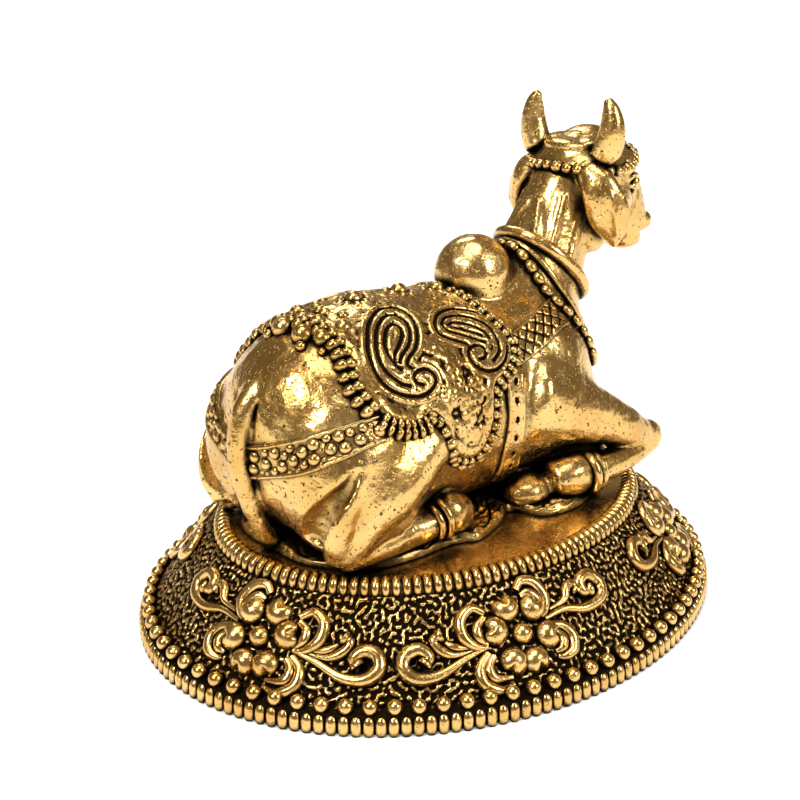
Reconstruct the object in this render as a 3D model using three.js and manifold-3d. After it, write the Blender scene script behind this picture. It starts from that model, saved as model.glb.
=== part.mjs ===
// A small cast metal figure of a resting bull on an oval plinth, in millimetres.
// +Z is up, the bull faces -Y, and the origin is at the middle of the plinth's underside.
import * as THREE from 'three';
import { mergeVertices } from 'three/addons/utils/BufferGeometryUtils.js';
import Module from 'manifold-3d';

const wasm = await Module();
wasm.setup();

// Driving dimensions of the plinth.
const BASE_LENGTH = 75;
const BASE_WIDTH = 62.5;
const FLUTE_HEIGHT = 2.25;
const FLUTE_DEPTH = 0.4;
const FLUTES = 168;
const PEARL_RADIUS = 0.72;
const PEARL_GAP = 0.07;
const SLOPE_RUN = 7.3;
const SLOPE_HEIGHT = 8.9;
const RIM_WIDTH = 2.4;
const RIM_HEIGHT = 1.7;
const TABLE_DROP = 0.6;
const FLOWERS = 6;
const PETALS = 6;
const FLOWER_RADIUS = 3.9;
const SCROLL_THICKNESS = 0.75;

// Driving dimensions of what is raised on the bull.
const GROUND_THICKNESS = 1.1;
const CLOTH_THICKNESS = 0.5;
const EDGE_RADIUS = 0.7;
const RIDGE_RADIUS = 0.5;
const KNOB_RADIUS = 2.2;
const KNOB_HEIGHT = 1.2;
const STRAP_THICKNESS = 0.4;
const COLLAR_THICKNESS = 1.05;
const NECKLACE_THICKNESS = 0.75;
const HEAD_BAND_THICKNESS = 0.65;
const EYE_RADIUS = 0.9;

// Places that follow from the plinth's sizes: how far in from its edge, and how high.
const halfLength = BASE_LENGTH / 2;
const halfWidth = BASE_WIDTH / 2;
const pearlInset = FLUTE_DEPTH + PEARL_RADIUS + PEARL_GAP;
const pearlTop = FLUTE_HEIGHT + PEARL_RADIUS * 1.5;
const slopeFoot = { inset: pearlInset + PEARL_RADIUS + PEARL_GAP, z: FLUTE_HEIGHT };
const slopeTop = { inset: slopeFoot.inset + SLOPE_RUN, z: slopeFoot.z + SLOPE_HEIGHT };
const rimTop = slopeTop.z + RIM_HEIGHT;
const tableInset = slopeTop.inset + RIM_WIDTH;
const tableHeight = rimTop - TABLE_DROP;

// The bull is laid out in millimetres on a table of this half length and half width, and it
// grows with the table.
const LAYOUT_TABLE = { halfLength: 25.82, halfWidth: 19.57 };
const bullScale = Math.min(
  (halfLength - tableInset) / LAYOUT_TABLE.halfLength,
  (halfWidth - tableInset) / LAYOUT_TABLE.halfWidth,
);

const DEGREE = Math.PI / 180;
const FULL_TURN = Math.PI * 2;
const MERGE_DISTANCE = 1e-4;
const { lerp, clamp } = THREE.MathUtils;
const vec = (x, y, z) => new THREE.Vector3(x, y, z);
const cross = (first, second) => vec(0, 0, 0).crossVectors(first, second).normalize();
const UP = vec(0, 0, 1);
const AHEAD = vec(0, -1, 0);
const BEHIND = vec(0, 1, 0);
const LEFT = vec(1, 0, 0);
const RIGHT_AND_UP = vec(-0.7, 0, 0.7);

// Turns closed geometry into a solid that can be joined and cut.
function solid(geometry) {
  const bare = geometry.clone();
  bare.deleteAttribute('normal');
  bare.deleteAttribute('uv');
  const merged = mergeVertices(bare, MERGE_DISTANCE);
  return new wasm.Manifold(new wasm.Mesh({
    numProp: 3,
    vertProperties: new Float32Array(merged.attributes.position.array),
    triVerts: new Uint32Array(merged.index.array),
  }));
}

function joined(geometries) {
  return geometries.map(solid).reduce((whole, piece) => whole.add(piece));
}

function meshed(name, whole, material) {
  const { vertProperties, triVerts, numProp } = whole.getMesh();
  const position = new Float32Array(triVerts.length * 3);
  triVerts.forEach((vertex, corner) => {
    for (let axis = 0; axis < 3; axis += 1) {
      position[corner * 3 + axis] = vertProperties[vertex * numProp + axis];
    }
  });
  const geometry = new THREE.BufferGeometry();
  geometry.setAttribute('position', new THREE.BufferAttribute(position, 3));
  geometry.computeVertexNormals();
  const mesh = new THREE.Mesh(geometry, material);
  mesh.name = name;
  return mesh;
}

function indexed(points, index) {
  const geometry = new THREE.BufferGeometry();
  const flat = points.flatMap((point) => point.toArray());
  geometry.setAttribute('position', new THREE.Float32BufferAttribute(flat, 3));
  geometry.setIndex(index);
  return geometry;
}

// A closed skin through rings that all have the same number of points, with a point at each end.
function skin(first, rings, last) {
  const points = [first, ...rings.flat(), last];
  const around = rings[0].length;
  const index = [];
  const at = (ring, step) => 1 + ring * around + (step % around);
  for (let step = 0; step < around; step += 1) {
    index.push(0, at(0, step + 1), at(0, step));
    for (let ring = 0; ring + 1 < rings.length; ring += 1) {
      index.push(at(ring, step), at(ring, step + 1), at(ring + 1, step + 1));
      index.push(at(ring, step), at(ring + 1, step + 1), at(ring + 1, step));
    }
    index.push(at(rings.length - 1, step), at(rings.length - 1, step + 1), points.length - 1);
  }
  return indexed(points, index);
}

// The middle line and the half sizes of a form given by stations [x, y, z, half width, half depth];
// a lone half width is round.
function middleLine(stations) {
  return new THREE.CatmullRomCurve3(stations.map(([x, y, z]) => vec(x, y, z)));
}

function halfSizes(stations) {
  return new THREE.CatmullRomCurve3(stations.map(([, , , wide, deep = wide]) => vec(wide, deep, 0)));
}

// A rounded form through its stations. Its first corner points towards the reference direction.
// A swell above 0 makes the same form that much fatter, as cloth and straps need to lie on it.
const END_ROUNDING = 0.45;

function loft(stations, { around = 8, steps = 6, swell = 0, reference = UP } = {}) {
  const path = middleLine(stations);
  const sizes = halfSizes(stations);
  const rings = Array.from({ length: steps + 1 }, (_, step) => {
    const centre = path.getPoint(step / steps);
    const size = sizes.getPoint(step / steps);
    const along = path.getTangent(step / steps);
    const side = cross(reference, along);
    const top = cross(along, side);
    return Array.from({ length: around }, (__, spoke) => {
      const turn = FULL_TURN * (spoke / around);
      return centre.clone()
        .addScaledVector(side, -(size.x + swell) * Math.sin(turn))
        .addScaledVector(top, (size.y + swell) * Math.cos(turn));
    });
  });
  const end = (share, sign) => {
    const size = sizes.getPoint(share);
    const reach = Math.min(size.x, size.y) * END_ROUNDING + swell;
    return path.getPoint(share).addScaledVector(path.getTangent(share), sign * reach);
  };
  return skin(end(0, -1), rings, end(1, 1));
}

function ball({ centre, radii }, around, swell = 0) {
  const geometry = new THREE.SphereGeometry(1, around, Math.ceil(around / 2));
  geometry.rotateX(Math.PI / 2);
  geometry.scale(...radii.map((radius) => radius + swell));
  return geometry.translate(...centre);
}

// A knob of few faces, half sunk in the surface that it sits on, with a corner pointing out of it.
const KNOB_SINK = 0.05;

function knob(place, radius, out, height = radius) {
  const geometry = new THREE.OctahedronGeometry(1);
  geometry.scale(radius, radius, height);
  geometry.applyQuaternion(new THREE.Quaternion().setFromUnitVectors(UP, out));
  const centre = place.clone().addScaledVector(out, -height * KNOB_SINK);
  return geometry.translate(...centre.toArray());
}

// The same form on the other side of the bull.
function mirrored(geometry) {
  const copy = mergeVertices(geometry).scale(-1, 1, 1);
  const index = copy.index.array;
  for (let corner = 0; corner < index.length; corner += 3) {
    [index[corner], index[corner + 1]] = [index[corner + 1], index[corner]];
  }
  return copy;
}

const both = (geometries) => [...geometries, ...geometries.map(mirrored)];

// The trunk, with its shoulders, haunches, hump and the tail that hangs down behind.
const TRUNK = [
  [0, 26.6, 12.2, 3.8, 4.2], [0, 25, 12.3, 7.4, 8.0], [0, 22, 12.5, 10.2, 10.8],
  [0, 17, 12.8, 12.0, 12.2], [0, 10, 13, 12.6, 12.9], [0, 3, 12.6, 12.6, 12.4],
  [0, -4, 12.3, 12.3, 12.1], [0, -10, 12, 11.2, 11.7], [0, -16, 11.4, 9.2, 10.8],
  [0, -20, 11, 6.4, 8.4], [0, -22, 10.8, 3.6, 5.2],
];
const HAUNCH = { centre: [-6.8, 18.2, 9.6], radii: [7.2, 8.8, 9.6] };
const SHOULDER = { centre: [-6.6, -10.5, 12.5], radii: [6.2, 7.2, 9.5] };
const HUMP = { centre: [0, -6.2, 26], radii: [4.5, 4.7, 4.7] };
const HUMP_FOOT = [[0, -6.4, 25, 3.9], [0, -7.4, 22, 4.6]];
const TAIL = [
  [0, 19.6, 24, 1.7], [0, 24, 20.4, 1.7], [0, 26.9, 15.6, 1.5], [0, 27.6, 9.5, 1.3],
  [0, 25.8, 3.2, 1.3], [0, 24.6, 1, 1.2],
];

function trunk(swell = 0) {
  return loft(TRUNK, { around: 14, steps: 10, swell });
}

function haunches(swell = 0) {
  return both([ball(HAUNCH, 9, swell)]);
}

function trunkPieces() {
  return [
    trunk(),
    ...haunches(),
    ...both([ball(SHOULDER, 8)]),
    ball(HUMP, 9),
    loft(HUMP_FOOT, { around: 7, steps: 1, reference: AHEAD }),
    loft(TAIL, { around: 5, steps: 6, reference: LEFT }),
  ];
}

// The trunk's middle height and half sizes at a place along it.
function trunkAt(y) {
  const next = Math.max(TRUNK.findIndex((station) => station[1] <= y), 1);
  const [before, after] = [TRUNK[next - 1], TRUNK[next]];
  const share = (y - before[1]) / (after[1] - before[1]);
  const [middle, wide, deep] = [2, 3, 4].map((column) => lerp(before[column], after[column], share));
  return { middle, wide, deep };
}

// A point on the bull's right flank, by its place along the trunk and its turn down from the spine.
function flank(y, turn) {
  const { middle, wide, deep } = trunkAt(y);
  const out = vec(-Math.sin(turn * DEGREE), 0, Math.cos(turn * DEGREE));
  const place = vec(out.x * wide, y, middle + out.z * deep);
  const [x, centreY, centreZ] = HAUNCH.centre;
  const [rx, ry, rz] = HAUNCH.radii;
  const left = 1 - ((y - centreY) / ry) ** 2 - ((place.z - centreZ) / rz) ** 2;
  if (left > 0) place.x = Math.min(place.x, x - rx * Math.sqrt(left));
  return place.addScaledVector(out, CLOTH_THICKNESS);
}

// The turn down from the spine at which the flank has a given height.
function turnAt(y, z) {
  const { middle, deep } = trunkAt(y);
  return Math.acos(clamp((z - middle) / deep, -1, 1)) / DEGREE;
}

// The neck, with its smooth collar and its string of beads, each a tilted ring round it. A ring's
// place is a share of the neck's length, and it sinks towards the chest by the height given.
const NECK = [
  [0, -9.5, 15, 8.6, 9], [0, -13.8, 19.5, 7.2, 8.2], [0, -17.2, 24.5, 5.8, 6.8],
  [0, -19.9, 29.5, 4.9, 5.6], [0, -22.2, 34, 4.6, 5],
];
const COLLAR = { share: 0.62, lift: 0.35, sink: 0 };
const NECKLACE = { share: 0.44, lift: 0.1, sink: 5.6 };
const HANGING_CURVE = 1.5;
const RING_CORNERS = 11;

function neckRing({ share, lift, sink }) {
  const path = middleLine(NECK);
  const sizes = halfSizes(NECK);
  return Array.from({ length: RING_CORNERS }, (_, spoke) => {
    const turn = FULL_TURN * (spoke / RING_CORNERS);
    const forward = (1 - Math.sin(turn)) / 2;
    const place = share - (sink * forward ** HANGING_CURVE) / path.getLength();
    const size = sizes.getPoint(place);
    const back = cross(LEFT, path.getTangent(place));
    return path.getPoint(place)
      .addScaledVector(LEFT, (size.x + lift) * Math.cos(turn))
      .addScaledVector(back, -(size.y + lift) * Math.sin(turn));
  });
}

// A closed cord of four sides through a ring of points.
function hoop(points, radius) {
  const sides = 4;
  const path = new THREE.CatmullRomCurve3(points, true);
  const { normals, binormals } = path.computeFrenetFrames(points.length, true);
  const corners = points.flatMap((_, step) => Array.from({ length: sides }, (__, spoke) => {
    const turn = FULL_TURN * (spoke / sides);
    return path.getPointAt(step / points.length)
      .addScaledVector(normals[step], radius * Math.cos(turn))
      .addScaledVector(binormals[step], radius * Math.sin(turn));
  }));
  const at = (step, spoke) => (step % points.length) * sides + (spoke % sides);
  const index = [];
  for (let step = 0; step < points.length; step += 1) {
    for (let spoke = 0; spoke < sides; spoke += 1) {
      index.push(at(step, spoke), at(step, spoke + 1), at(step + 1, spoke + 1));
      index.push(at(step, spoke), at(step + 1, spoke + 1), at(step + 1, spoke));
    }
  }
  return indexed(corners, index);
}

function neckPieces() {
  return [
    loft(NECK, { around: 11, steps: 4, reference: AHEAD }),
    hoop(neckRing(COLLAR), COLLAR_THICKNESS),
    hoop(neckRing(NECKLACE), NECKLACE_THICKNESS),
  ];
}

// The head, with horns, ears, eyes, jaws, the cap between the horns and the band round them.
const HEAD = [
  [0, -24.4, 39.3, 3.6, 3.6], [0, -25.6, 37.2, 4.8, 5.2], [0, -27, 34.8, 5.2, 5.9],
  [0, -28.6, 32.4, 4.7, 5.5], [0, -30.2, 30.3, 3.8, 4.4], [0, -31.8, 28.4, 3.4, 3.6],
  [0, -33, 27, 3.1, 3.1],
];
const CAP = { centre: [0, -23.6, 38.6], radii: [3.6, 3.4, 2.4] };
const HORN = [
  [-5, -22.7, 37, 1.9], [-6, -22.8, 39.4, 1.7], [-6.4, -22.8, 41.6, 1.3],
  [-5.9, -22.7, 43.6, 0.8], [-4.8, -22.5, 45, 0.4],
];
const EAR = [
  [-5.2, -22, 37.2, 0.9, 0.8], [-7.4, -22.4, 35.4, 2.2, 0.9], [-8.4, -23.2, 32.2, 2.5, 0.9],
  [-8, -24.4, 28.6, 0.8, 0.5],
];
const EAR_FACING = vec(-0.75, 0.6, 0);
const EYE = vec(-4.6, -29, 35.2);
const EYE_FACING = vec(-1, -0.3, 0).normalize();
const JAW = { centre: [-3.2, -24.6, 29.6], radii: [2.4, 3.2, 3] };
const HEAD_BAND = { centre: [0, -24.2, 37.2], radii: [5.6, 4.6], corners: 10 };

function headBand() {
  const { centre: [x, y, z], radii: [wide, long], corners } = HEAD_BAND;
  const oval = new THREE.EllipseCurve(x, y, wide, long);
  const ring = oval.getSpacedPoints(corners).slice(0, -1);
  return hoop(ring.map((point) => vec(point.x, point.y, z)), HEAD_BAND_THICKNESS);
}

function headPieces() {
  return [
    loft(HEAD, { around: 9, steps: 7, reference: AHEAD }),
    ball(CAP, 7),
    headBand(),
    ...both([
      loft(HORN, { around: 5, steps: 4, reference: BEHIND }),
      loft(EAR, { around: 5, steps: 4, reference: EAR_FACING }),
      knob(EYE, EYE_RADIUS, EYE_FACING),
      ball(JAW, 6),
    ]),
  ];
}

// The folded legs: each has an upper part, and a foot along the ground with its anklet and hoof.
const HIND_LEG = [
  [-11.4, 12.6, 12.5, 3.4], [-12, 17.5, 9, 3], [-11.2, 21.5, 5.5, 2.5], [-10.4, 23.4, 3, 2.1],
];
const HIND_FOOT = [
  [-10.4, 23.2, 2.6, 2], [-10.9, 16.5, 2.7, 1.6], [-11, 11, 2.8, 1.6], [-10.9, 10, 2.9, 2.6],
  [-10.9, 8.8, 2.9, 2.4], [-10.8, 7.6, 2.7, 2.3], [-10.4, 5.4, 2.2, 1.7],
];
const FORE_LEG = [
  [-8.6, -6.5, 12.4, 6], [-10.4, -12, 9.6, 4.7], [-12.2, -18, 6.8, 3.2], [-13.2, -23, 4.6, 2.1],
];
const FORE_FOOT = [
  [-13.2, -23.4, 3.8, 1.9], [-13.8, -19, 3.2, 1.6], [-13.7, -15.4, 3, 1.6],
  [-13.6, -14.4, 3, 2.4], [-13.5, -13, 3, 2.2], [-12.9, -10.6, 2.9, 2.6], [-12.2, -7.8, 2.6, 2.1],
];

function legPieces() {
  return both([
    loft(HIND_LEG, { around: 7, steps: 3 }),
    loft(HIND_FOOT, { around: 6, steps: 7 }),
    loft(FORE_LEG, { around: 8, steps: 4 }),
    loft(FORE_FOOT, { around: 6, steps: 7 }),
  ]);
}

// The thin wavy-edged ground under the bull; the outline is its right half, as [x, y].
const GROUND_EDGE = [
  [0, 24.6], [-6, 24], [-10.8, 20], [-12.4, 15], [-12.6, 9], [-13.8, 5.7], [-12.4, 1],
  [-10.9, -2.3], [-14.2, -4], [-15.3, -7.5], [-14.8, -11], [-12.2, -16.5], [-7, -21], [0, -22.6],
];
const GROUND_CORNERS = 30;

function ground() {
  const right = GROUND_EDGE.map(([x, y]) => new THREE.Vector2(x, y));
  const left = GROUND_EDGE.slice(1, -1).reverse().map(([x, y]) => new THREE.Vector2(-x, y));
  const outline = new THREE.SplineCurve([...right, ...left, right[0]]);
  const shape = new THREE.Shape(outline.getPoints(GROUND_CORNERS).slice(0, -1));
  return new THREE.ExtrudeGeometry(shape, { depth: GROUND_THICKNESS, bevelEnabled: false });
}

// The saddlecloth has three lobes on each side, arcs of ellipses in the side view, as [y, z], from
// one angle to another; 0 degrees is the rear. Its scrolls are points [y, turn from the spine].
const REAR_LOBE = { centre: [13.2, 21.2], radii: [6.6, 6], from: 22, to: -100 };
const HANGING_LOBE = { centre: [7, 14.6], radii: [4.6, 5.2], from: 6, to: -186 };
const FRONT_LOBE = { centre: [0.3, 20.2], radii: [3.2, 3.2], from: -60, to: -236 };
const LOBES = [REAR_LOBE, HANGING_LOBE, FRONT_LOBE];
const ABOVE_BACK = 30;
const BEYOND_SIDES = 20;
const REAR_SCROLL = [
  [13.9, 50], [12.2, 46], [11.3, 37], [11.3, 29], [12.2, 22], [14, 22], [15.7, 30], [16.6, 42],
  [16.6, 53], [15.4, 61], [13.6, 64.5], [12.1, 63], [11.7, 58], [12.5, 54.5], [13.4, 57],
];
const FRONT_SCROLL = [
  [6.4, 33], [4.9, 27], [2.5, 25.5], [0.2, 33], [-0.8, 47], [-0.5, 57], [1.2, 63.5], [3.6, 64],
  [5.2, 59], [4.6, 53], [3, 52], [2.6, 57],
];
const SPINE_KNOBS = [-0.5, 5.4, 11.6, 17.6];

function lobeArc({ centre: [y, z], radii: [long, high], from, to }, swell, steps) {
  return Array.from({ length: steps + 1 }, (_, step) => {
    const turn = lerp(from, to, step / steps) * DEGREE;
    return [y + (long + swell) * Math.cos(turn), z + (high + swell) * Math.sin(turn)];
  });
}

function clothOutline() {
  const edge = LOBES.flatMap((lobe) => lobeArc(lobe, EDGE_RADIUS, 5));
  return [...edge, [edge[edge.length - 1][0], ABOVE_BACK], [edge[0][0], ABOVE_BACK]];
}

// A layer over the trunk and haunches, cut to an outline [y, z] in the side view.
function wrap(thickness, outline) {
  const shape = new THREE.Shape(outline.map(([y, z]) => new THREE.Vector2(y, z)));
  const block = new THREE.ExtrudeGeometry(shape, { depth: BEYOND_SIDES * 2, bevelEnabled: false });
  block.translate(0, 0, -BEYOND_SIDES);
  block.applyMatrix4(new THREE.Matrix4().makeBasis(BEHIND, UP, LEFT));
  return joined([trunk(thickness), ...haunches(thickness)]).intersect(solid(block));
}

// A raised line of three sides on the cloth, through points [y, turn].
function clothRidge(points, radii, steps) {
  const stations = points.map(([y, turn], index) => [...flank(y, turn).toArray(), radii[index]]);
  return loft(stations, { around: 3, steps, reference: RIGHT_AND_UP });
}

function scroll(points, steps) {
  const radii = points.map((_, index) => (index % (points.length - 1) ? RIDGE_RADIUS : RIDGE_RADIUS / 2));
  return clothRidge(points, radii, steps);
}

// A roll along the edge of the cloth, as high as the string of beads there.
function clothEdge() {
  return LOBES.map((lobe) => {
    const points = lobeArc(lobe, 0, 6).map(([y, z]) => [y, turnAt(y, z)]);
    return clothRidge(points, points.map(() => EDGE_RADIUS), 5);
  });
}

function saddlecloth() {
  const knobs = SPINE_KNOBS.map((y) => knob(flank(y, 0), KNOB_RADIUS, UP, KNOB_HEIGHT));
  const ridges = both([...clothEdge(), scroll(REAR_SCROLL, 9), scroll(FRONT_SCROLL, 7)]);
  return wrap(CLOTH_THICKNESS, clothOutline()).add(joined([...knobs, ...ridges]));
}

// The strap round the rump, which holds the cloth, as an outline [y, z] in the side view.
const RUMP_STRAP = [[19.2, 17.6], [23.5, 15.6], [30, 12.8], [30, 8.4], [24.5, 11], [18, 14.8]];

function bull() {
  const body = joined([...trunkPieces(), ...neckPieces(), ...headPieces(), ...legPieces(), ground()]);
  const dressed = body.add(saddlecloth()).add(wrap(STRAP_THICKNESS, RUMP_STRAP));
  const depth = ABOVE_BACK;
  const below = new THREE.BoxGeometry(BASE_LENGTH, BASE_LENGTH, depth).translate(0, 0, -depth / 2);
  return dressed.subtract(solid(below));
}

// The plinth's rows: points round the oval, or round a smaller one inside it.
const OVAL_SIDES = 32;
const OVAL_DIVISIONS = 1500;

function ovalPoint(inset, turn, z) {
  return vec((halfWidth - inset) * Math.cos(turn), (halfLength - inset) * Math.sin(turn), z);
}

// Turns that part the oval at a given inset into equal steps of length.
function evenTurns(inset, count, start = 0) {
  const oval = new THREE.EllipseCurve(0, 0, halfWidth - inset, halfLength - inset);
  oval.arcLengthDivisions = OVAL_DIVISIONS;
  return Array.from({ length: count }, (_, step) => FULL_TURN * oval.getUtoTmapping(start + step / count));
}

// A solid of stacked oval rows. In a fluted row, every second point lies further in.
function ovalStack(turns, rows) {
  const rings = rows.map(({ inset, z, flute = 0 }) => turns.map((turn, step) => (
    ovalPoint(inset + (step % 2) * flute, turn, z)
  )));
  return skin(vec(0, 0, rows[0].z), rings, vec(0, 0, rows[rows.length - 1].z));
}

function flutedBand() {
  return ovalStack(evenTurns(0, FLUTES * 2), [
    { inset: 0, z: 0, flute: FLUTE_DEPTH },
    { inset: 0, z: FLUTE_HEIGHT, flute: FLUTE_DEPTH },
  ]);
}

// One pearl stands over every second flute.
function pearls() {
  return evenTurns(pearlInset, Math.round(FLUTES / 2)).map((turn) => (
    knob(ovalPoint(pearlInset, turn, FLUTE_HEIGHT), PEARL_RADIUS, UP, pearlTop - FLUTE_HEIGHT)
  ));
}

function slope() {
  return ovalStack(evenTurns(slopeTop.inset, OVAL_SIDES), [
    { ...slopeFoot, z: FLUTE_HEIGHT / 2 },
    slopeFoot,
    slopeTop,
  ]);
}

// The rounded rim stands on the slope and drops to the table inside it.
function rim() {
  const steps = 4;
  const foot = { inset: slopeTop.inset, z: slopeTop.z - RIM_HEIGHT / 2 };
  const rows = Array.from({ length: steps + 1 }, (_, step) => {
    const turn = Math.PI * (step / steps);
    const drop = step > steps / 2 ? TABLE_DROP : RIM_HEIGHT;
    const inset = slopeTop.inset + (RIM_WIDTH / 2) * (1 - Math.cos(turn));
    return { inset, z: rimTop - drop * (1 - Math.sin(turn)) };
  });
  return ovalStack(evenTurns(slopeTop.inset, OVAL_SIDES), [foot, ...rows]);
}

// A place on the slope, by its turn round the oval and its share of the way up.
function slopePoint(turn, rise) {
  const inset = lerp(slopeFoot.inset, slopeTop.inset, rise);
  return ovalPoint(inset, turn, lerp(slopeFoot.z, slopeTop.z, rise));
}

function slopeOut(turn) {
  const step = DEGREE / 2;
  const round = slopePoint(turn + step, 0).sub(slopePoint(turn - step, 0));
  return cross(round, slopePoint(turn, 1).sub(slopePoint(turn, 0)));
}

// A flower of round petals about a middle knob.
const PETAL_RING = 0.68;
const PETAL_SIZE = 0.33;

function flower(centre, out) {
  const side = cross(UP, out);
  const rise = cross(out, side);
  const petals = Array.from({ length: PETALS }, (_, petal) => {
    const turn = FULL_TURN * (petal / PETALS);
    return centre.clone()
      .addScaledVector(side, FLOWER_RADIUS * PETAL_RING * Math.cos(turn))
      .addScaledVector(rise, FLOWER_RADIUS * PETAL_RING * Math.sin(turn));
  });
  return [centre, ...petals].map((place) => knob(place, FLOWER_RADIUS * PETAL_SIZE, out));
}

// A scroll arm leaves each flower on either side and curls into a volute before it meets the next
// flower's arm. Its points are [share of half the way to that flower, share of the way up].
const FLOWER_RISE = 0.56;
const FLOWER_START = 0.112;
const SCROLL_ARM = [[0.2, 0.44], [0.4, 0.28], [0.7, 0.26], [0.86, 0.48], [0.74, 0.7], [0.62, 0.54]];

function scrollArm(turn, way) {
  const half = Math.PI / FLOWERS;
  const stations = SCROLL_ARM.map(([share, rise], step) => {
    const radius = step % (SCROLL_ARM.length - 1) ? SCROLL_THICKNESS : SCROLL_THICKNESS / 2;
    return [...slopePoint(turn + way * share * half, rise).toArray(), radius];
  });
  return loft(stations, { around: 3, steps: 5, reference: slopeOut(turn) });
}

function slopeCarving() {
  const turns = evenTurns((slopeFoot.inset + slopeTop.inset) / 2, FLOWERS, FLOWER_START);
  return turns.flatMap((turn) => [
    ...flower(slopePoint(turn, FLOWER_RISE), slopeOut(turn)),
    scrollArm(turn, -1),
    scrollArm(turn, 1),
  ]);
}

function plinth() {
  return joined([flutedBand(), ...pearls(), slope(), rim(), ...slopeCarving()]);
}

const brass = () => new THREE.MeshStandardMaterial({ color: 0xa8843c, roughness: 0.35, metalness: 1 });

const figure = new THREE.Group();
figure.position.z = tableHeight;
figure.scale.setScalar(bullScale);
figure.add(meshed('nandi_bull', bull(), brass()));

const model = new THREE.Group();
model.add(meshed('oval_base', plinth(), brass()), figure);

export default model;
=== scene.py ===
# %% [markdown]
# # A resting bull on an oval plinth, in antique-gold brass
# The real thing is a small shelf figure, cast from a carved pattern, gilt and then washed with a
# dark patina that was rubbed off again wherever the metal stands proud. This lesson builds it
# in the order a carver might work: the view and the light, the plinth with its repeats, the
# bull's body, its cloth and straps, and last the strings of beads. Sizes are in millimetres
# until a mesh is made, and the big ones are read from the frame.

# %% Load the frame
import math

import bpy
import numpy as np
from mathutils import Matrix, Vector


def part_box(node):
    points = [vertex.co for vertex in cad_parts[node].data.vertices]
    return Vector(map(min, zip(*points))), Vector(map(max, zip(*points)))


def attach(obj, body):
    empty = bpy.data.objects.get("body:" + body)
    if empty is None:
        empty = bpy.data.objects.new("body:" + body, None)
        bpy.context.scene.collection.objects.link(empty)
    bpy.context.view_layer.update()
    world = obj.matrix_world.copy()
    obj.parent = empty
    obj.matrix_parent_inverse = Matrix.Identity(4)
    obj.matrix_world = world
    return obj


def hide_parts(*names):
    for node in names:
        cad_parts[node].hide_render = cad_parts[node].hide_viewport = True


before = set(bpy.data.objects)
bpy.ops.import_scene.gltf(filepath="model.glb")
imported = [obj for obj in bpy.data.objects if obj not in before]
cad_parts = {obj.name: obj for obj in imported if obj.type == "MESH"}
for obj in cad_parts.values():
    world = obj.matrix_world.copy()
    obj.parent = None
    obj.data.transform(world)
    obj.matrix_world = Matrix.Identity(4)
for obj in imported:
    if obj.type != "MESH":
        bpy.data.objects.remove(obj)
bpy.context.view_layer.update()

MM = 0.001
base_low, base_high = (np.array(corner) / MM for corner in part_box("oval_base"))
bull_low, bull_high = (np.array(corner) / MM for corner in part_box("nandi_bull"))
HALF_WIDTH, HALF_LENGTH, RIM_TOP = base_high
TABLE = bull_low[2]
ON_TABLE = np.array((0, 0, TABLE))
print("plinth", base_low.round(2), base_high.round(2), "bull", bull_low.round(2), bull_high.round(2))

# %% [markdown]
# ## The view
# The photograph looks down a little, from behind the bull's right hip. The camera's place and
# the angle of its lens are what make the plinth's two ovals and the horns fall where they do.
# The back of the camera points along azimuth and elevation, so no target object is needed.

# %% The camera
AZIMUTH = math.radians(228)
ELEVATION = math.radians(19.737)
CAMERA_PLACE = (-105.936, 100.765, 76.309)
FIELD_OF_VIEW = math.radians(34)

camera = bpy.data.objects.new("camera", bpy.data.cameras.new("camera"))
bpy.context.scene.collection.objects.link(camera)
bpy.context.scene.camera = camera
back = Vector((
    math.sin(AZIMUTH) * math.cos(ELEVATION),
    -math.cos(AZIMUTH) * math.cos(ELEVATION),
    math.sin(ELEVATION),
))
camera.location = Vector(CAMERA_PLACE) * MM
camera.rotation_mode = "QUATERNION"
camera.rotation_quaternion = (-back).to_track_quat("-Z", "Y")
camera.data.lens = camera.data.sensor_width / 2 / math.tan(FIELD_OF_VIEW / 2)
camera.data.clip_start = 0.005
print("lens", round(camera.data.lens, 2), "mm")

# %% [markdown]
# ## The light
# Polished metal shows its surroundings, so the light is mostly a matter of what it can mirror.
# A pale floor gives the warm undersides, a wide light overhead whitens the floor and the backs
# of things, a key light from the left makes the bright spots, and a dim warm sky leaves the
# sides dark between them. Everything here is stage, not object.

# %% Four lights
bpy.context.scene.view_settings.view_transform = "Standard"
MIDDLE = Vector((0, 0, 0.028))
WHITE = (1, 1, 1)
LIGHTS = [
    ("overhead", 228, 84, 0.62, 0.34, 1.7, WHITE),
    ("key", 190, 44, 0.5, 0.13, 1.5, (1.0, 0.97, 0.92)),
    ("side", 290, 30, 0.55, 0.18, 1.3, (1.0, 0.98, 0.95)),
    ("behind", 60, 42, 0.6, 0.2, 0.7, WHITE),
]


def soft_light(name, azimuth, elevation, distance, size, power, colour):
    """A square light that looks at the figure's middle, in degrees, metres and watts."""
    turn, rise = math.radians(azimuth), math.radians(elevation)
    out = Vector((math.sin(turn) * math.cos(rise), -math.cos(turn) * math.cos(rise), math.sin(rise)))
    lamp = bpy.data.lights.new(name, "AREA")
    lamp.size = size
    lamp.energy = power
    lamp.color = colour
    holder = bpy.data.objects.new(name, lamp)
    holder.location = MIDDLE + out * distance
    holder.rotation_mode = "QUATERNION"
    holder.rotation_quaternion = out.to_track_quat("Z", "Y")
    bpy.context.scene.collection.objects.link(holder)


for light in LIGHTS:
    soft_light(*light)
print(len(LIGHTS), "lights")

# %% [markdown]
# ## The floor and the sky
# The floor is one large square. Its paint glows more the farther it is from the figure, so that
# it fades into white while the figure keeps its shadow. The sky has one dim warm colour, which
# is what the sides of the metal show.

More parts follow.
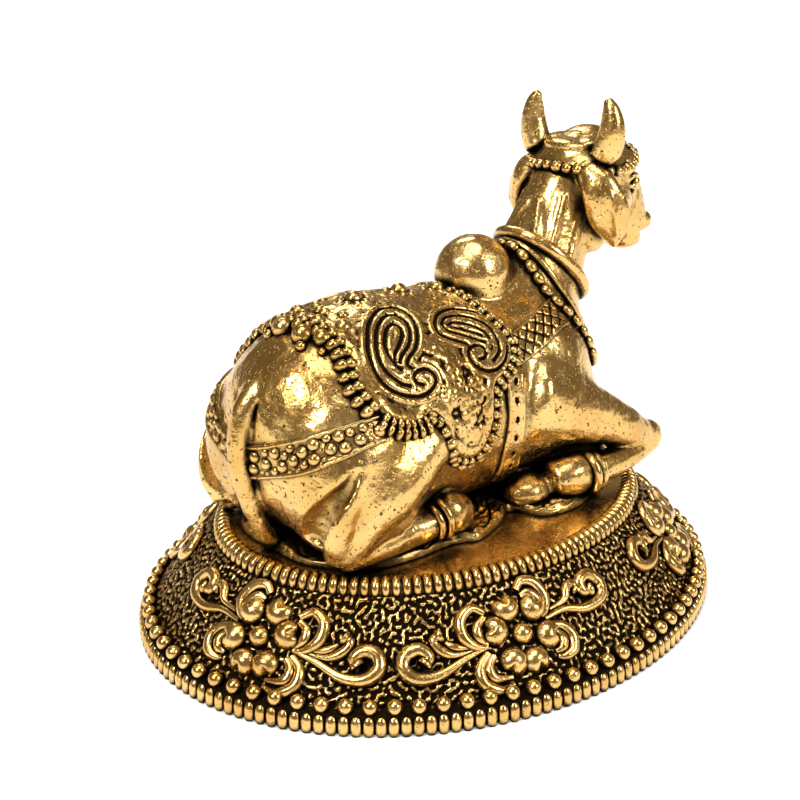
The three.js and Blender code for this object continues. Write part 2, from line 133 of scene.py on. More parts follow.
# %% A pale floor under a dim sky
FLOOR_SPREAD = 3.0
FLOOR_GREY = (0.93, 0.93, 0.93, 1)
FLOOR_GLOW = {"From Min": 0.12, "From Max": 0.6, "To Min": 0.3, "To Max": 0.98}
SKY_COLOUR = (1.0, 0.76, 0.48, 1)
SKY_STRENGTH = 0.2
floor_mesh = bpy.data.meshes.new("floor")
floor_mesh.from_pydata(
    [(x * FLOOR_SPREAD, y * FLOOR_SPREAD, 0) for x, y in ((-1, -1), (1, -1), (1, 1), (-1, 1))],
    [], [(0, 1, 2, 3)],
)
floor = bpy.data.objects.new("floor", floor_mesh)
bpy.context.scene.collection.objects.link(floor)
paint = bpy.data.materials.new("pale_floor")
paint.use_nodes = True
paint_nodes = paint.node_tree.nodes
floor_shader = paint_nodes["Principled BSDF"]
floor_shader.inputs["Base Color"].default_value = FLOOR_GREY
floor_shader.inputs["Roughness"].default_value = 0.9
floor_shader.inputs["Emission Color"].default_value = (1, 1, 1, 1)
floor_place = paint_nodes.new("ShaderNodeTexCoord")
floor_reach = paint_nodes.new("ShaderNodeVectorMath")
floor_reach.operation = "LENGTH"
floor_glow = paint_nodes.new("ShaderNodeMapRange")
for socket, value in FLOOR_GLOW.items():
    floor_glow.inputs[socket].default_value = value
paint.node_tree.links.new(floor_place.outputs["Object"], floor_reach.inputs[0])
paint.node_tree.links.new(floor_reach.outputs["Value"], floor_glow.inputs["Value"])
paint.node_tree.links.new(floor_glow.outputs["Result"], floor_shader.inputs["Emission Strength"])
floor_mesh.materials.append(paint)

sky = bpy.data.worlds.new("dim_sky")
bpy.context.scene.world = sky
sky.use_nodes = True
sky.node_tree.nodes["Background"].inputs["Color"].default_value = SKY_COLOUR
sky.node_tree.nodes["Background"].inputs["Strength"].default_value = SKY_STRENGTH
print("stage is set")

# %% [markdown]
# ## Helpers for node trees
# Shader trees and geometry trees are both made of nodes and links. One helper adds a node and
# fills its sockets, with a plain value or with another node's output. Another runs a finished
# geometry tree on a host mesh and keeps only the plain mesh that it grew.

# %% Add a node, grow a piece
def node(tree, kind, inputs=None, **settings):
    """Adds a node; inputs maps a socket's name or number to a value or to another node's output."""
    made = tree.nodes.new(kind)
    for key, value in settings.items():
        setattr(made, key, value)
    for key, value in (inputs or {}).items():
        if isinstance(value, bpy.types.NodeSocket):
            tree.links.new(value, made.inputs[key])
        else:
            made.inputs[key].default_value = value
    return made


def new_tree(name, inputs):
    """A geometry tree whose named inputs are given as name: (kind of socket, value)."""
    tree = bpy.data.node_groups.new(name, "GeometryNodeTree")
    tree.interface.new_socket("Geometry", in_out="INPUT", socket_type="NodeSocketGeometry")
    for label, (kind, value) in inputs.items():
        socket = tree.interface.new_socket(label, in_out="INPUT", socket_type="NodeSocket" + kind)
        if value is not None:
            socket.default_value = value
    tree.interface.new_socket("Material", in_out="INPUT", socket_type="NodeSocketMaterial")
    tree.interface.new_socket("Geometry", in_out="OUTPUT", socket_type="NodeSocketGeometry")
    return tree, node(tree, "NodeGroupInput").outputs


def end_tree(tree, given, geometry):
    """Makes the instances real, smooths them and gives them their metal."""
    real = node(tree, "GeometryNodeRealizeInstances", {"Geometry": geometry})
    smooth = node(tree, "GeometryNodeSetShadeSmooth", {"Geometry": real.outputs[0]})
    dressed = node(tree, "GeometryNodeSetMaterial", {
        "Geometry": smooth.outputs[0], "Material": given["Material"],
    })
    node(tree, "NodeGroupOutput", {"Geometry": dressed.outputs[0]})


def grow(name, tree, values, host_mesh=None):
    """Runs a tree on a host mesh and keeps the result as a piece with no modifier."""
    host = bpy.data.objects.new(name + "_host", host_mesh or bpy.data.meshes.new(name + "_host"))
    bpy.context.scene.collection.objects.link(host)
    modifier = host.modifiers.new("grow", "NODES")
    modifier.node_group = tree
    for item in tree.interface.items_tree:
        if item.in_out == "INPUT" and item.name in values:
            modifier[item.identifier] = values[item.name]
    graph = bpy.context.evaluated_depsgraph_get()
    mesh = bpy.data.meshes.new_from_object(host.evaluated_get(graph), depsgraph=graph)
    mesh.name = name
    bpy.data.objects.remove(host)
    return settle(name, mesh)


def settle(name, mesh):
    """Puts a mesh in the scene as a piece that belongs to the figure."""
    piece = bpy.data.objects.new(name, mesh)
    bpy.context.scene.collection.objects.link(piece)
    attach(piece, "root")
    triangles = sum(len(face.vertices) - 2 for face in mesh.polygons)
    print(name, triangles, "triangles")
    return piece


# %% [markdown]
# ## The metal
# Gilt brass with a dark wash is one material seen in two states. Where the surface is open it
# is bright gold, and where it is hemmed in it is painted nearly black. The ambient occlusion
# node finds these places all over the figure, so the black is partly the real wash in hollows and
# partly painted shade where pieces crowd each other and the floor. An attribute called hollow adds
# what a piece knows of its own carving. Noise breaks the gold into warmer and paler patches, small
# pits and a hammered skin, all on object coordinates so that the pattern stays where it is.

# %% Antique gold
GOLD = (0.80, 0.55, 0.21, 1)
DEEP_GOLD = (0.62, 0.38, 0.115, 1)
# Near-black where the surface is hemmed in: the real dark wash in hollows, and painted shade where the
# occlusion meets other pieces and the floor.
WASH_AND_SHADE = (0.012, 0.007, 0.003, 1)
BRIGHT_ROUGHNESS = 0.2
DARK_ROUGHNESS = 0.55


def antique_gold(name, reach, pits, hammer, wash_and_shade_level):
    """Reach is how far, in millimetres, the occlusion looks when it paints wash and shade; the rest are
    shares.
    """
    metal = bpy.data.materials.new(name)
    metal.use_nodes = True
    tree = metal.node_tree
    shader = tree.nodes["Principled BSDF"]
    shader.inputs["Metallic"].default_value = 1.0
    place = node(tree, "ShaderNodeTexCoord").outputs["Object"]

    def noise(per_mm, detail, rough=0.55):
        """Soft random greys, so many to a millimetre."""
        return node(tree, "ShaderNodeTexNoise", {
            "Vector": place, "Scale": per_mm / MM, "Detail": detail, "Roughness": rough,
        }).outputs["Fac"]

    def ranged(value, low, high, to_low=0.0, to_high=1.0):
        """A value carried from one range to another."""
        return node(tree, "ShaderNodeMapRange", {
            "Value": value, "From Min": low, "From Max": high, "To Min": to_low, "To Max": to_high,
        }).outputs["Result"]

    def maths(operation, first, second):
        """One sum of two values."""
        return node(tree, "ShaderNodeMath", {0: first, 1: second}, operation=operation).outputs[0]

    def mixed(share, first, second):
        """Two colours mixed by a share."""
        mix = node(tree, "ShaderNodeMix", data_type="RGBA")
        for socket, value in (("Factor", share), ("A", first), ("B", second)):
            found = next(s for s in mix.inputs if s.name == socket and s.enabled)
            if isinstance(value, bpy.types.NodeSocket):
                tree.links.new(value, found)
            else:
                found.default_value = value
        return next(s for s in mix.outputs if s.enabled)

    patches = noise(0.13, 3)
    grain = noise(0.8, 4, 0.7)
    fine = noise(2.2, 2)
    # Ambient occlusion paints shade into the colour wherever the surface is hemmed in, on top of the
    # real wash in the carving's hollows.
    occlusion = node(tree, "ShaderNodeAmbientOcclusion", {"Distance": reach * MM}, samples=8)
    hollow = node(tree, "ShaderNodeAttribute", attribute_name="hollow").outputs["Fac"]
    shade_and_patina = maths("SUBTRACT", occlusion.outputs["AO"], hollow)
    unrest = ranged(grain, 0.3, 0.7, -0.09, 0.09)
    bare_and_unshaded = ranged(maths("ADD", shade_and_patina, unrest), wash_and_shade_level - 0.13, wash_and_shade_level + 0.1)
    pit = ranged(fine, 0.645, 0.68, 0.0, pits)
    bare_and_unshaded = maths("SUBTRACT", bare_and_unshaded, pit)
    gold = mixed(ranged(patches, 0.35, 0.65), DEEP_GOLD, GOLD)
    tree.links.new(mixed(bare_and_unshaded, WASH_AND_SHADE, gold), shader.inputs["Base Color"])
    polish = ranged(bare_and_unshaded, 0.0, 1.0, DARK_ROUGHNESS, BRIGHT_ROUGHNESS)
    dull = maths("ADD", polish, ranged(grain, 0.35, 0.7, 0.0, 0.1))
    tree.links.new(dull, shader.inputs["Roughness"])
    height = maths("SUBTRACT", maths("MULTIPLY", noise(0.5, 3), 1.8), ranged(fine, 0.62, 0.72))
    bump = node(tree, "ShaderNodeBump", {"Height": height, "Strength": hammer, "Distance": 0.2 * MM})
    tree.links.new(bump.outputs["Normal"], shader.inputs["Normal"])
    return metal


# The last share is how open a surface must be before the painted shade and the wash give way to gold.
plinth_metal = antique_gold("plinth_gold", reach=1.3, pits=0.4, hammer=0.22, wash_and_shade_level=0.64)
bull_metal = antique_gold("bull_gold", reach=2.1, pits=0.9, hammer=0.55, wash_and_shade_level=0.76)
print("metals ready")

# %% [markdown]
# ## The plinth's oval
# Everything on the plinth follows ovals inside its outer edge. Equal steps of angle would crowd
# the repeats at the oval's ends, so a table of lengths along the oval turns a distance into an
# angle. The slope is measured the same way: a distance round it and a distance up it.

# %% Measures of the oval
FLUTE_HEIGHT = 2.25
FLUTE_DEPTH = 0.4
FLUTES = 168
PEARL_RADIUS = 0.72
PEARL_INSET = FLUTE_DEPTH + PEARL_RADIUS + 0.07
PEARL_SWELL = 1.15
SLOPE_FOOT_INSET = PEARL_INSET + PEARL_RADIUS + 0.07
SLOPE_RUN = 7.3
SLOPE_TOP_INSET = SLOPE_FOOT_INSET + SLOPE_RUN
RIM_WIDTH = 2.4
RIM_HEIGHT = 1.7
SLOPE_TOP = RIM_TOP - RIM_HEIGHT
SLOPE_LENGTH = math.hypot(SLOPE_RUN, SLOPE_TOP - FLUTE_HEIGHT)


def oval_point(inset, turn, z):
    """Points in millimetres; the three values may be numbers or arrays."""
    inset, turn, z = np.broadcast_arrays(inset, turn, z)
    return np.stack([
        (HALF_WIDTH - inset) * np.cos(turn), (HALF_LENGTH - inset) * np.sin(turn), z,
    ], axis=-1).astype(float)


def lengths_along(path):
    """How far along a path each of its points lies."""
    return np.concatenate([[0], np.cumsum(np.linalg.norm(np.diff(path, axis=0), axis=1))])


fine_turns = np.linspace(0, 2 * np.pi, 4001)
middle_oval = oval_point(SLOPE_FOOT_INSET + SLOPE_RUN / 2, fine_turns, 0)
length_so_far = lengths_along(middle_oval)
ROUND = length_so_far[-1]


def turn_at(distance):
    """The angle at a distance along the oval that runs halfway up the slope."""
    return np.interp(np.mod(distance, ROUND), length_so_far, fine_turns)


def on_slope(distance, up, lift=0.0):
    """A point by its distance round the slope, its distance up it and its height above it."""
    turn = turn_at(distance)
    share = up / SLOPE_LENGTH
    inset = SLOPE_FOOT_INSET + SLOPE_RUN * share
    z = FLUTE_HEIGHT + (SLOPE_TOP - FLUTE_HEIGHT) * share
    foot = oval_point(SLOPE_FOOT_INSET, turn, FLUTE_HEIGHT)
    upward = oval_point(SLOPE_TOP_INSET, turn, SLOPE_TOP) - foot
    along = oval_point(SLOPE_FOOT_INSET, turn + 0.01, FLUTE_HEIGHT) - foot
    out = np.cross(along, upward)
    out /= np.linalg.norm(out, axis=-1, keepdims=True)
    return oval_point(inset, turn, z) + out * np.asarray(lift)[..., None]


print("round the slope", round(ROUND, 1), "mm, up the slope", round(SLOPE_LENGTH, 1), "mm")

# %% [markdown]
# ## Grain for the carved ground
# The ground between the scrolls is worked into small worm-like crumbs. Random numbers that keep
# only one band of wavelengths give just that. They are split into waves, all waves but the band
# are dimmed, and the rest are added up again. Such a field closes on itself round the oval with
# no seam. The same kind of field roughens other pieces later.

# %% Banded noise
def banded_noise(rows, columns, step_rows, step_columns, wavelength, spread, seed):
    """Smooth random heights of about unit size, with features of one wavelength in millimetres."""
    random = np.random.default_rng(seed)
    waves = np.hypot(
        np.fft.fftfreq(rows, step_rows)[:, None], np.fft.fftfreq(columns, step_columns)[None, :],
    )
    band = np.exp(-((waves * wavelength - 1) / spread) ** 2)
    field = np.fft.ifft2(np.fft.fft2(random.standard_normal((rows, columns))) * band).real
    return field / field.std()


def soft_step(values, low, high):
    """0 below low, 1 above high and a smooth rise between."""
    share = np.clip((values - low) / (high - low), 0, 1)
    return share * share * (3 - 2 * share)


# %% [markdown]
# ## Making meshes from arrays
# A piece that is a grid, such as a worked surface, is quickest as one array of points. The faces
# of a grid always follow the same rule, so one helper makes them, open or closed round. Another
# closes a hole with a fan of triangles.

# %% Grids, fans and meshes
def grid_faces(rows, columns, closed):
    """Faces of a grid of points, row by row; closed joins the last column to the first."""
    index = np.arange(rows * columns).reshape(rows, columns)
    after = np.roll(index, -1, axis=1)
    quads = np.stack([index[:-1], after[:-1], after[1:], index[1:]], axis=-1)
    if not closed:
        quads = quads[:, :-1]
    return quads.reshape(-1, 4)


def fan(ring, tip, back=False):
    """Triangles from the edges of a ring of points to one point, turned round if back is true."""
    after = np.roll(ring, -1)
    first, second = (after, ring) if back else (ring, after)
    return np.stack([first, second, np.full(len(ring), tip)], axis=1)


def made_mesh(name, points, faces, metal, hollow=None):
    """A smooth mesh in metres from points in millimetres, with its hollow attribute if it has one."""
    mesh = bpy.data.meshes.new(name)
    mesh.from_pydata((points * MM).tolist(), [], [list(face) for face in faces])
    mesh.shade_smooth()
    mesh.materials.append(metal)
    if hollow is not None:
        values = mesh.attributes.new("hollow", "FLOAT", "POINT")
        values.data.foreach_set("value", np.asarray(hollow, np.float32).ravel())
    return mesh


# %% [markdown]
# ## The plinth's body
# One closed skin runs from the flat underside up the foot, over the ledge, up the worked slope,
# over the rim's core and across the table. It is a grid of rows round the oval, and only the
# slope's rows are close together. The crumbs are a real relief, a third of a millimetre high,
# that fades out at the slope's foot and top.

# %% The worked slope
AROUND = 1040
SLOPE_ROWS = 58
CRUMB_HEIGHT = 0.36
CRUMB_LENGTH = 0.86

steps_round = np.arange(AROUND) * ROUND / AROUND
turns_round = turn_at(steps_round)
ups = np.linspace(0, SLOPE_LENGTH, SLOPE_ROWS)
crumbs = banded_noise(SLOPE_ROWS, AROUND, ups[1], ROUND / AROUND, CRUMB_LENGTH, 0.42, seed=7)
relief = soft_step(crumbs, -0.3, 0.5)
fade = soft_step(ups, 0, 0.5) * (1 - soft_step(ups, SLOPE_LENGTH - 0.4, SLOPE_LENGTH))
lift = CRUMB_HEIGHT * relief * fade[:, None]
slope_rows = on_slope(steps_round[None, :], ups[:, None], lift)
print("slope of", slope_rows.shape[:2], "points")

# %% [markdown]
# ## Foot, rim and table
# The plinth's other rows are plain ovals, each given by how far in from the edge and how high it
# lies. The rim's core is a half round that the ribs will hide. One point under the plinth and
# one on its table close the skin. The gaps between the crumbs and the whole foot behind the
# flutes are marked as hollow, so that the dark wash stays there.

# %% The plinth's skin
FOOT_HOLLOW = 0.8
GAP_HOLLOW = 0.85
FOOT_INSET = FLUTE_DEPTH + 0.12
below = [(FOOT_INSET + 0.3, 0.0), (FOOT_INSET, 0.15), (FOOT_INSET, FLUTE_HEIGHT - 0.1),
         (FOOT_INSET + 0.1, FLUTE_HEIGHT)]
rim_turns = np.linspace(0, np.pi, 9)
rim_core = [
    (SLOPE_TOP_INSET + 0.25 + (RIM_WIDTH - 0.5) / 2 * (1 - math.cos(turn)),
     max(RIM_TOP - 0.6 - (RIM_HEIGHT - 0.3) * (1 - math.sin(turn)), TABLE if turn > 2 else 0))
    for turn in rim_turns
]
TABLE_INSET = SLOPE_TOP_INSET + RIM_WIDTH
inner = [(TABLE_INSET + 0.3, TABLE), (TABLE_INSET + 5, TABLE), (TABLE_INSET + 14, TABLE)]
profile_rows = [oval_point(inset, turns_round, z) for inset, z in below]
profile_rows += list(slope_rows)
profile_rows += [oval_point(inset, turns_round, z) for inset, z in rim_core + inner]
rows = np.array(profile_rows)
faces = grid_faces(len(rows), AROUND, closed=True)
points = np.concatenate([rows.reshape(-1, 3), [[0, 0, 0], [0, 0, TABLE]]])
ring = np.arange(AROUND)
last = (len(rows) - 1) * AROUND
under = fan(ring, len(points) - 2, back=True)
over = fan(ring + last, len(points) - 1)
gaps = np.zeros(len(points))
slope_start = len(below) * AROUND
gaps[:slope_start] = FOOT_HOLLOW
gaps[slope_start:slope_start + relief.size] = GAP_HOLLOW * (1 - relief).ravel()
plinth = settle("oval_plinth", made_mesh(
    "oval_plinth", points, [*faces, *under, *over], plinth_metal, gaps,
))
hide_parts("oval_base")

# %% [markdown]
# ## Repeats round the oval
# Flutes, pearls and the rim's ribs are all one small form copied round an oval at equal steps.
# A geometry tree does that once for all three: a circle is stretched to the oval, cut into equal
# lengths, and carries the form on each point, turned to follow the edge. Only the form, the
# oval and the number differ, so they are the tree's inputs.

# %% The tree that walks round an oval
oval_tree, given = new_tree("round_an_oval", {
    "Half Width": ("Float", 0.03), "Half Length": ("Float", 0.04), "Height": ("Float", 0.0),
    "Count": ("Int", 84), "Form": ("Object", None),
})
circle = node(oval_tree, "GeometryNodeCurvePrimitiveCircle", {"Resolution": 720, "Radius": 1.0})
stretch = node(oval_tree, "ShaderNodeCombineXYZ", {
    "X": given["Half Width"], "Y": given["Half Length"], "Z": 1.0,
})
raise_to = node(oval_tree, "ShaderNodeCombineXYZ", {"Z": given["Height"]})
oval = node(oval_tree, "GeometryNodeTransform", {
    "Geometry": circle.outputs["Curve"], "Scale": stretch.outputs[0],
    "Translation": raise_to.outputs[0],
})
places = node(oval_tree, "GeometryNodeResampleCurve", {
    "Curve": oval.outputs[0], "Count": given["Count"],
}, mode="COUNT")
follow = node(oval_tree, "FunctionNodeAlignRotationToVector", {
    "Vector": node(oval_tree, "GeometryNodeInputTangent").outputs[0],
}, axis="X", pivot_axis="Z")
form = node(oval_tree, "GeometryNodeObjectInfo", {"Object": given["Form"]})
copies = node(oval_tree, "GeometryNodeInstanceOnPoints", {
    "Points": places.outputs[0], "Instance": form.outputs["Geometry"], "Rotation": follow.outputs[0],
})
end_tree(oval_tree, given, copies.outputs[0])


def round_the_oval(name, form_mesh, inset, height, count, metal):
    """Copies a small form round the oval that lies the given distance inside the plinth's edge."""
    form_object = bpy.data.objects.new(name + "_form", form_mesh)
    piece = grow(name, oval_tree, {
        "Half Width": (HALF_WIDTH - inset) * MM, "Half Length": (HALF_LENGTH - inset) * MM,
        "Height": height * MM, "Count": count, "Form": form_object, "Material": metal,
    })
    bpy.data.objects.remove(form_object)
    return piece


# %% [markdown]
# ## Flutes, pearls and ribs
# A flute is an upright bar with a rounded front and top. A pearl stands over every second one.
# A rib is a short thick arch laid across the rim, so that the rim looks like a wound coil. Each
# form is a closed tube of rings, and has only a few dozen faces because it is copied so often.

# %% Forms made of rings
def ringed_form(name, centres, radii, sides, metal):
    """A closed form of rings: each has a centre, two half sizes and their two directions."""
    turns = np.arange(sides) * 2 * np.pi / sides
    rings = [
        centre + wide * across * np.cos(turns)[:, None] + deep * through * np.sin(turns)[:, None]
        for centre, (wide, deep, across, through) in zip(centres, radii)
    ]
    points = np.concatenate([*rings, [centres[0]], [centres[-1]]])
    body = grid_faces(len(rings), sides, closed=True)
    ring = np.arange(sides)
    end = (len(rings) - 1) * sides
    first = fan(ring, len(points) - 2, back=True)
    final = fan(ring + end, len(points) - 1)
    return made_mesh(name, points, [*body, *first, *final], metal)


def axis(*values):
    """A place or direction as an array."""
    return np.array(values, float)


FLUTE_HALF_WIDTH = 1.277 * 0.475
FLUTE_HALF_DEPTH = 0.42
FLUTE_ROWS = [
    (0.05, 0.0, 0.7), (0.3, 0.0, 0.96), (0.95, 0.0, 1.0), (1.4, 0.02, 0.96), (1.75, 0.08, 0.8),
    (2.05, 0.22, 0.54), (2.25, 0.42, 0.2),
]
flute = ringed_form(
    "flute", [axis(0, lean, z) for z, lean, _ in FLUTE_ROWS],
    [(FLUTE_HALF_WIDTH * size, FLUTE_HALF_DEPTH * size, axis(1, 0, 0), axis(0, 1, 0))
     for *_, size in FLUTE_ROWS],
    10, plinth_metal,
)
round_the_oval("foot_flutes", flute, FLUTE_DEPTH + 0.02, 0, FLUTES, plinth_metal)

pearl_turns = np.linspace(0.12, np.pi - 0.12, 9)
pearl_size = PEARL_RADIUS * PEARL_SWELL
pearl = ringed_form(
    "pearl", [axis(0, 0, -pearl_size * math.cos(turn)) for turn in pearl_turns],
    [(pearl_size * math.sin(turn), pearl_size * math.sin(turn), axis(1, 0, 0), axis(0, 1, 0))
     for turn in pearl_turns],
    16, plinth_metal,
)
round_the_oval("foot_pearls", pearl, PEARL_INSET + 0.1, FLUTE_HEIGHT + 0.6, FLUTES // 2, plinth_metal)

RIBS = 140
RIB_RISE = 1.4
RIB_HALF_LENGTH = 1.32
RIB_HALF_WIDTH = 0.51
rib_turns = np.linspace(0.2, np.pi - 0.2, 8)
rib = ringed_form(
    "rib", [axis(-RIB_HALF_WIDTH * math.cos(turn), 0, 0) for turn in rib_turns],
    [(RIB_HALF_LENGTH * size, RIB_RISE * size, axis(0, 1, 0), axis(0, 0, 1))
     for size in (math.sin(turn) ** 0.4 for turn in rib_turns)],
    14, plinth_metal,
)
round_the_oval("rim_ribs", rib, SLOPE_TOP_INSET + RIM_WIDTH / 2, RIM_TOP - RIB_RISE, RIBS, plinth_metal)

# %% [markdown]
# ## Modelling in clay
# The body is one soft form: barrel, haunches, shoulders, neck and folded legs run into each
# other. A sculptor would push clay together, and a field of distances does the same. Each form
# answers how far any point is from its skin. Taking the smaller answer joins two forms, and
# rounding the corner between the answers rubs a fillet into the joint. The bull is the same on
# both sides, so only its right half is worked out, and the left is a mirror image.

# %% Balls that know their distance
def root_of_squares(*parts):
    """The length of an arrow with these parts at right angles."""
    return np.sqrt(sum(part * part for part in parts))


def ball(centre, radii):
    """An ellipsoid: a function that gives distances, and the form's box."""
    centre, radii = np.array(centre, float), np.array(radii, float)

    def distance(*place):
        offsets = [value - middle for value, middle in zip(place, centre)]
        near = root_of_squares(*[offset / radius for offset, radius in zip(offsets, radii)])
        steep = root_of_squares(*[offset / radius ** 2 for offset, radius in zip(offsets, radii)])
        near, steep = np.maximum(near, 1e-3), np.maximum(steep, 1e-3 / radii.min())
        return near * (near - 1) / steep

    return distance, centre - radii, centre + radii


# %% [markdown]
# ## Limbs
# A leg, a horn or a neck is a form along a line that swells and thins. The line runs smoothly
# through a few stations, and between two neighbouring points of it the limb is a cone with an
# oval section and rounded ends. The nearest of these cones gives the distance.

# %% Limbs along a smooth line
def spline(points, per_span):
    """A smooth line that runs through all the points given, which may be rows of any width."""
    points = np.asarray(points, float)
    padded = np.concatenate([[2 * points[0] - points[1]], points, [2 * points[-1] - points[-2]]])
    share = (np.arange(per_span) / per_span)[None, :, None]
    before, start, end, after = (padded[k:len(padded) - 3 + k, None, :] for k in range(4))
    line = start + 0.5 * share * (end - before + share * (
        2 * before - 5 * start + 4 * end - after + share * (3 * (start - end) + after - before)
    ))
    return np.concatenate([line.reshape(-1, points.shape[1]), points[-1:]])


def unit(vectors):
    """The same directions, one unit long."""
    vectors = np.asarray(vectors, float)
    return vectors / np.maximum(np.linalg.norm(vectors, axis=-1, keepdims=True), 1e-9)


END_ROUNDING = 0.45


def limb(stations, reference=(0, 0, 1), per_span=4):
    """A form along stations [x, y, z, half width, half depth]; a lone half width is round."""
    full = [list(station) + [station[3]] * (5 - len(station)) for station in stations]
    line = spline(full, per_span)
    centres, sizes = line[:, :3], line[:, 3:]

    def distance(x, y, z):
        """The distance to the nearest of the cones."""
        nearest = None
        for a, b, first, second in zip(centres[:-1], centres[1:], sizes[:-1], sizes[1:]):
            length = np.linalg.norm(b - a)
            along = (b - a) / length
            side = unit(np.cross(reference, along))
            top = np.cross(along, side)
            dx, dy, dz = x - a[0], y - a[1], z - a[2]
            step = np.clip(dx * along[0] + dy * along[1] + dz * along[2], 0, length)
            share = step / length
            wide = first[0] + share * (second[0] - first[0])
            deep = first[1] + share * (second[1] - first[1])
            dx, dy, dz = dx - step * along[0], dy - step * along[1], dz - step * along[2]
            across = dx * side[0] + dy * side[1] + dz * side[2]
            over = dx * top[0] + dy * top[1] + dz * top[2]
            past = dx * along[0] + dy * along[1] + dz * along[2]
            reach = root_of_squares(across, over, past) + 1e-6
            cap = END_ROUNDING * np.minimum(wide, deep)
            size = root_of_squares(across / wide, over / deep, past / cap) + 1e-6
            found = reach - reach / size
            nearest = found if nearest is None else np.minimum(nearest, found)
        return nearest

    margin = sizes.max(axis=1, keepdims=True)
    return distance, (centres - margin).min(axis=0), (centres + margin).max(axis=0)


# %% [markdown]
# ## The clay itself
# The clay is a block of small cells, and each corner of a cell holds its distance to the skin.
# Working a form in changes only the cells near it. The clay can also say how far any point is
# from the skin and which way is out, so that cloth, straps and beads can be pressed on it later.

# %% A block of clay
FAR = 9.0


def rounded_least(first, second, blend):
    """The smaller of two distances, with the corner between them rounded over the blend."""
    gap = np.maximum(blend - np.abs(first - second), 0) / max(blend, 1e-6)
    return np.minimum(first, second) - gap * gap * blend / 4


class Clay:
    """Distances to the skin on a grid of cells over the right half of the bull, in millimetres."""

    def __init__(self, low, high, cell):
        """An empty block that ends one cell past the bull's middle."""
        high = [cell, high[1], high[2]]
        self.low, self.cell = np.array(low, float), cell
        self.low[0] = -round(-low[0] / cell) * cell
        counts = [round((top - bottom) / cell) + 1 for bottom, top in zip(self.low, high)]
        self.axes = [bottom + cell * np.arange(count) for bottom, count in zip(self.low, counts)]
        self.field = np.full(counts, FAR)

    def work(self, form, blend=0.0, carve=False):
        """Adds a form to the clay, or carves it out."""
        distance, low, high = form
        margin = 1.5 + 2 * blend
        spans = [slice(*np.searchsorted(axis, (bottom - margin, top + margin)))
                 for axis, bottom, top in zip(self.axes, low, high)]
        x, y, z = (axis[span] for axis, span in zip(self.axes, spans))
        if min(len(x), len(y), len(z)) == 0:
            return
        found = distance(x[:, None, None], y[None, :, None], z[None, None, :])
        spans = tuple(spans)
        if carve:
            self.field[spans] = -rounded_least(-self.field[spans], found, blend)
        else:
            self.field[spans] = rounded_least(self.field[spans], found, blend)

    def sample(self, points):
        """Distances at any points, read between the grid's points; left and right are alike."""
        place = np.array(points, float)
        place[..., 0] = -np.abs(place[..., 0])
        grid = (place - self.low) / self.cell
        top = np.array(self.field.shape) - 1.001
        grid = np.clip(grid, 0, top)
        cell = grid.astype(int)
        share = grid - cell
        total = 0
        for corner in np.ndindex(2, 2, 2):
            weight = np.prod(np.where(corner, share, 1 - share), axis=-1)
            total = total + weight * self.field[tuple(np.moveaxis(cell + corner, -1, 0))]
        return total

    def outward(self, points, step=0.25):
        """The direction in which the distance grows fastest."""
        points = np.asarray(points, float)
        slopes = [self.sample(points + move) - self.sample(points - move) for move in np.eye(3) * step]
        return unit(np.stack(slopes, axis=-1))

    def press(self, points, rounds=4):
        """Moves points onto the skin."""
        points = np.array(points, float)
        for _ in range(rounds):
            away = np.clip(self.sample(points), -1, 1)
            points -= self.outward(points) * away[..., None]
        return points


# %% [markdown]
# ## From distances to a skin
# The skin lies where the distance is nought. In every cell of the grid that it passes through,
# one vertex is put in the middle of the places where it crosses the cell's edges, and vertices
# of neighbouring cells are joined by quads. A little smoothing evens out the grid's own marks.

# %% Skin the clay
def skinned(field, low, cell):
    """Vertices and quads of the surface where a whole field of distances is nought."""
    inside = field < 0
    shape = np.array(field.shape) - 1
    count = sum(
        inside[i:i + shape[0], j:j + shape[1], k:k + shape[2]].astype(int)
        for i, j, k in np.ndindex(2, 2, 2)
    )
    active = (count > 0) & (count < 8)
    number = np.full(active.shape, -1)
    number[active] = np.arange(active.sum())
    cells = np.argwhere(active)
    total, crossings = np.zeros(cells.shape), np.zeros(len(cells))
    axes = np.eye(3, dtype=int)
    for along, left, right in ((0, 1, 2), (1, 2, 0), (2, 0, 1)):
        for i, j in np.ndindex(2, 2):
            start = cells + i * axes[left] + j * axes[right]
            first = field[tuple(start.T)]
            second = field[tuple((start + axes[along]).T)]
            crossed = (first < 0) != (second < 0)
            share = np.where(crossed, first / np.where(crossed, first - second, 1), 0)
            total += crossed[:, None] * (start + share[:, None] * axes[along])
            crossings += crossed
    points = low + cell * total / crossings[:, None]
    quads = []
    for along, left, right in ((0, 1, 2), (1, 2, 0), (2, 0, 1)):
        spans = [slice(1, -1)] * 3
        spans[along] = slice(0, -1)
        ends = [slice(1, -1)] * 3
        ends[along] = slice(1, None)
        first, second = inside[tuple(spans)], inside[tuple(ends)]
        starts = np.argwhere(first != second)
        leaving = first[first != second]
        starts += np.array([0 if k == along else 1 for k in range(3)])
        corner = [starts - axes[left] - axes[right], starts - axes[right], starts, starts - axes[left]]
        quad = np.stack([number[tuple(c.T)] for c in corner], axis=1)
        quad[~leaving] = quad[~leaving][:, ::-1]
        quads.append(quad)
    return points, np.concatenate(quads)


# %% [markdown]
# ## Smoothing, dents and firing
# Cast and filed metal is never quite even. A few dozen long waves, added up, move each point a
# few hundredths of a millimetre, which bends the reflections as hand work does. Firing puts the
# steps together: cut the clay, mirror it, skin it, smooth it, dent it and stand it on the table.

# %% Fire the clay
SMOOTHING_ROUNDS = 3
SMOOTHING_SHARE = 0.5
DENTS = 26
DENT_DEPTH = 0.035
DENT_LENGTH = 3.2


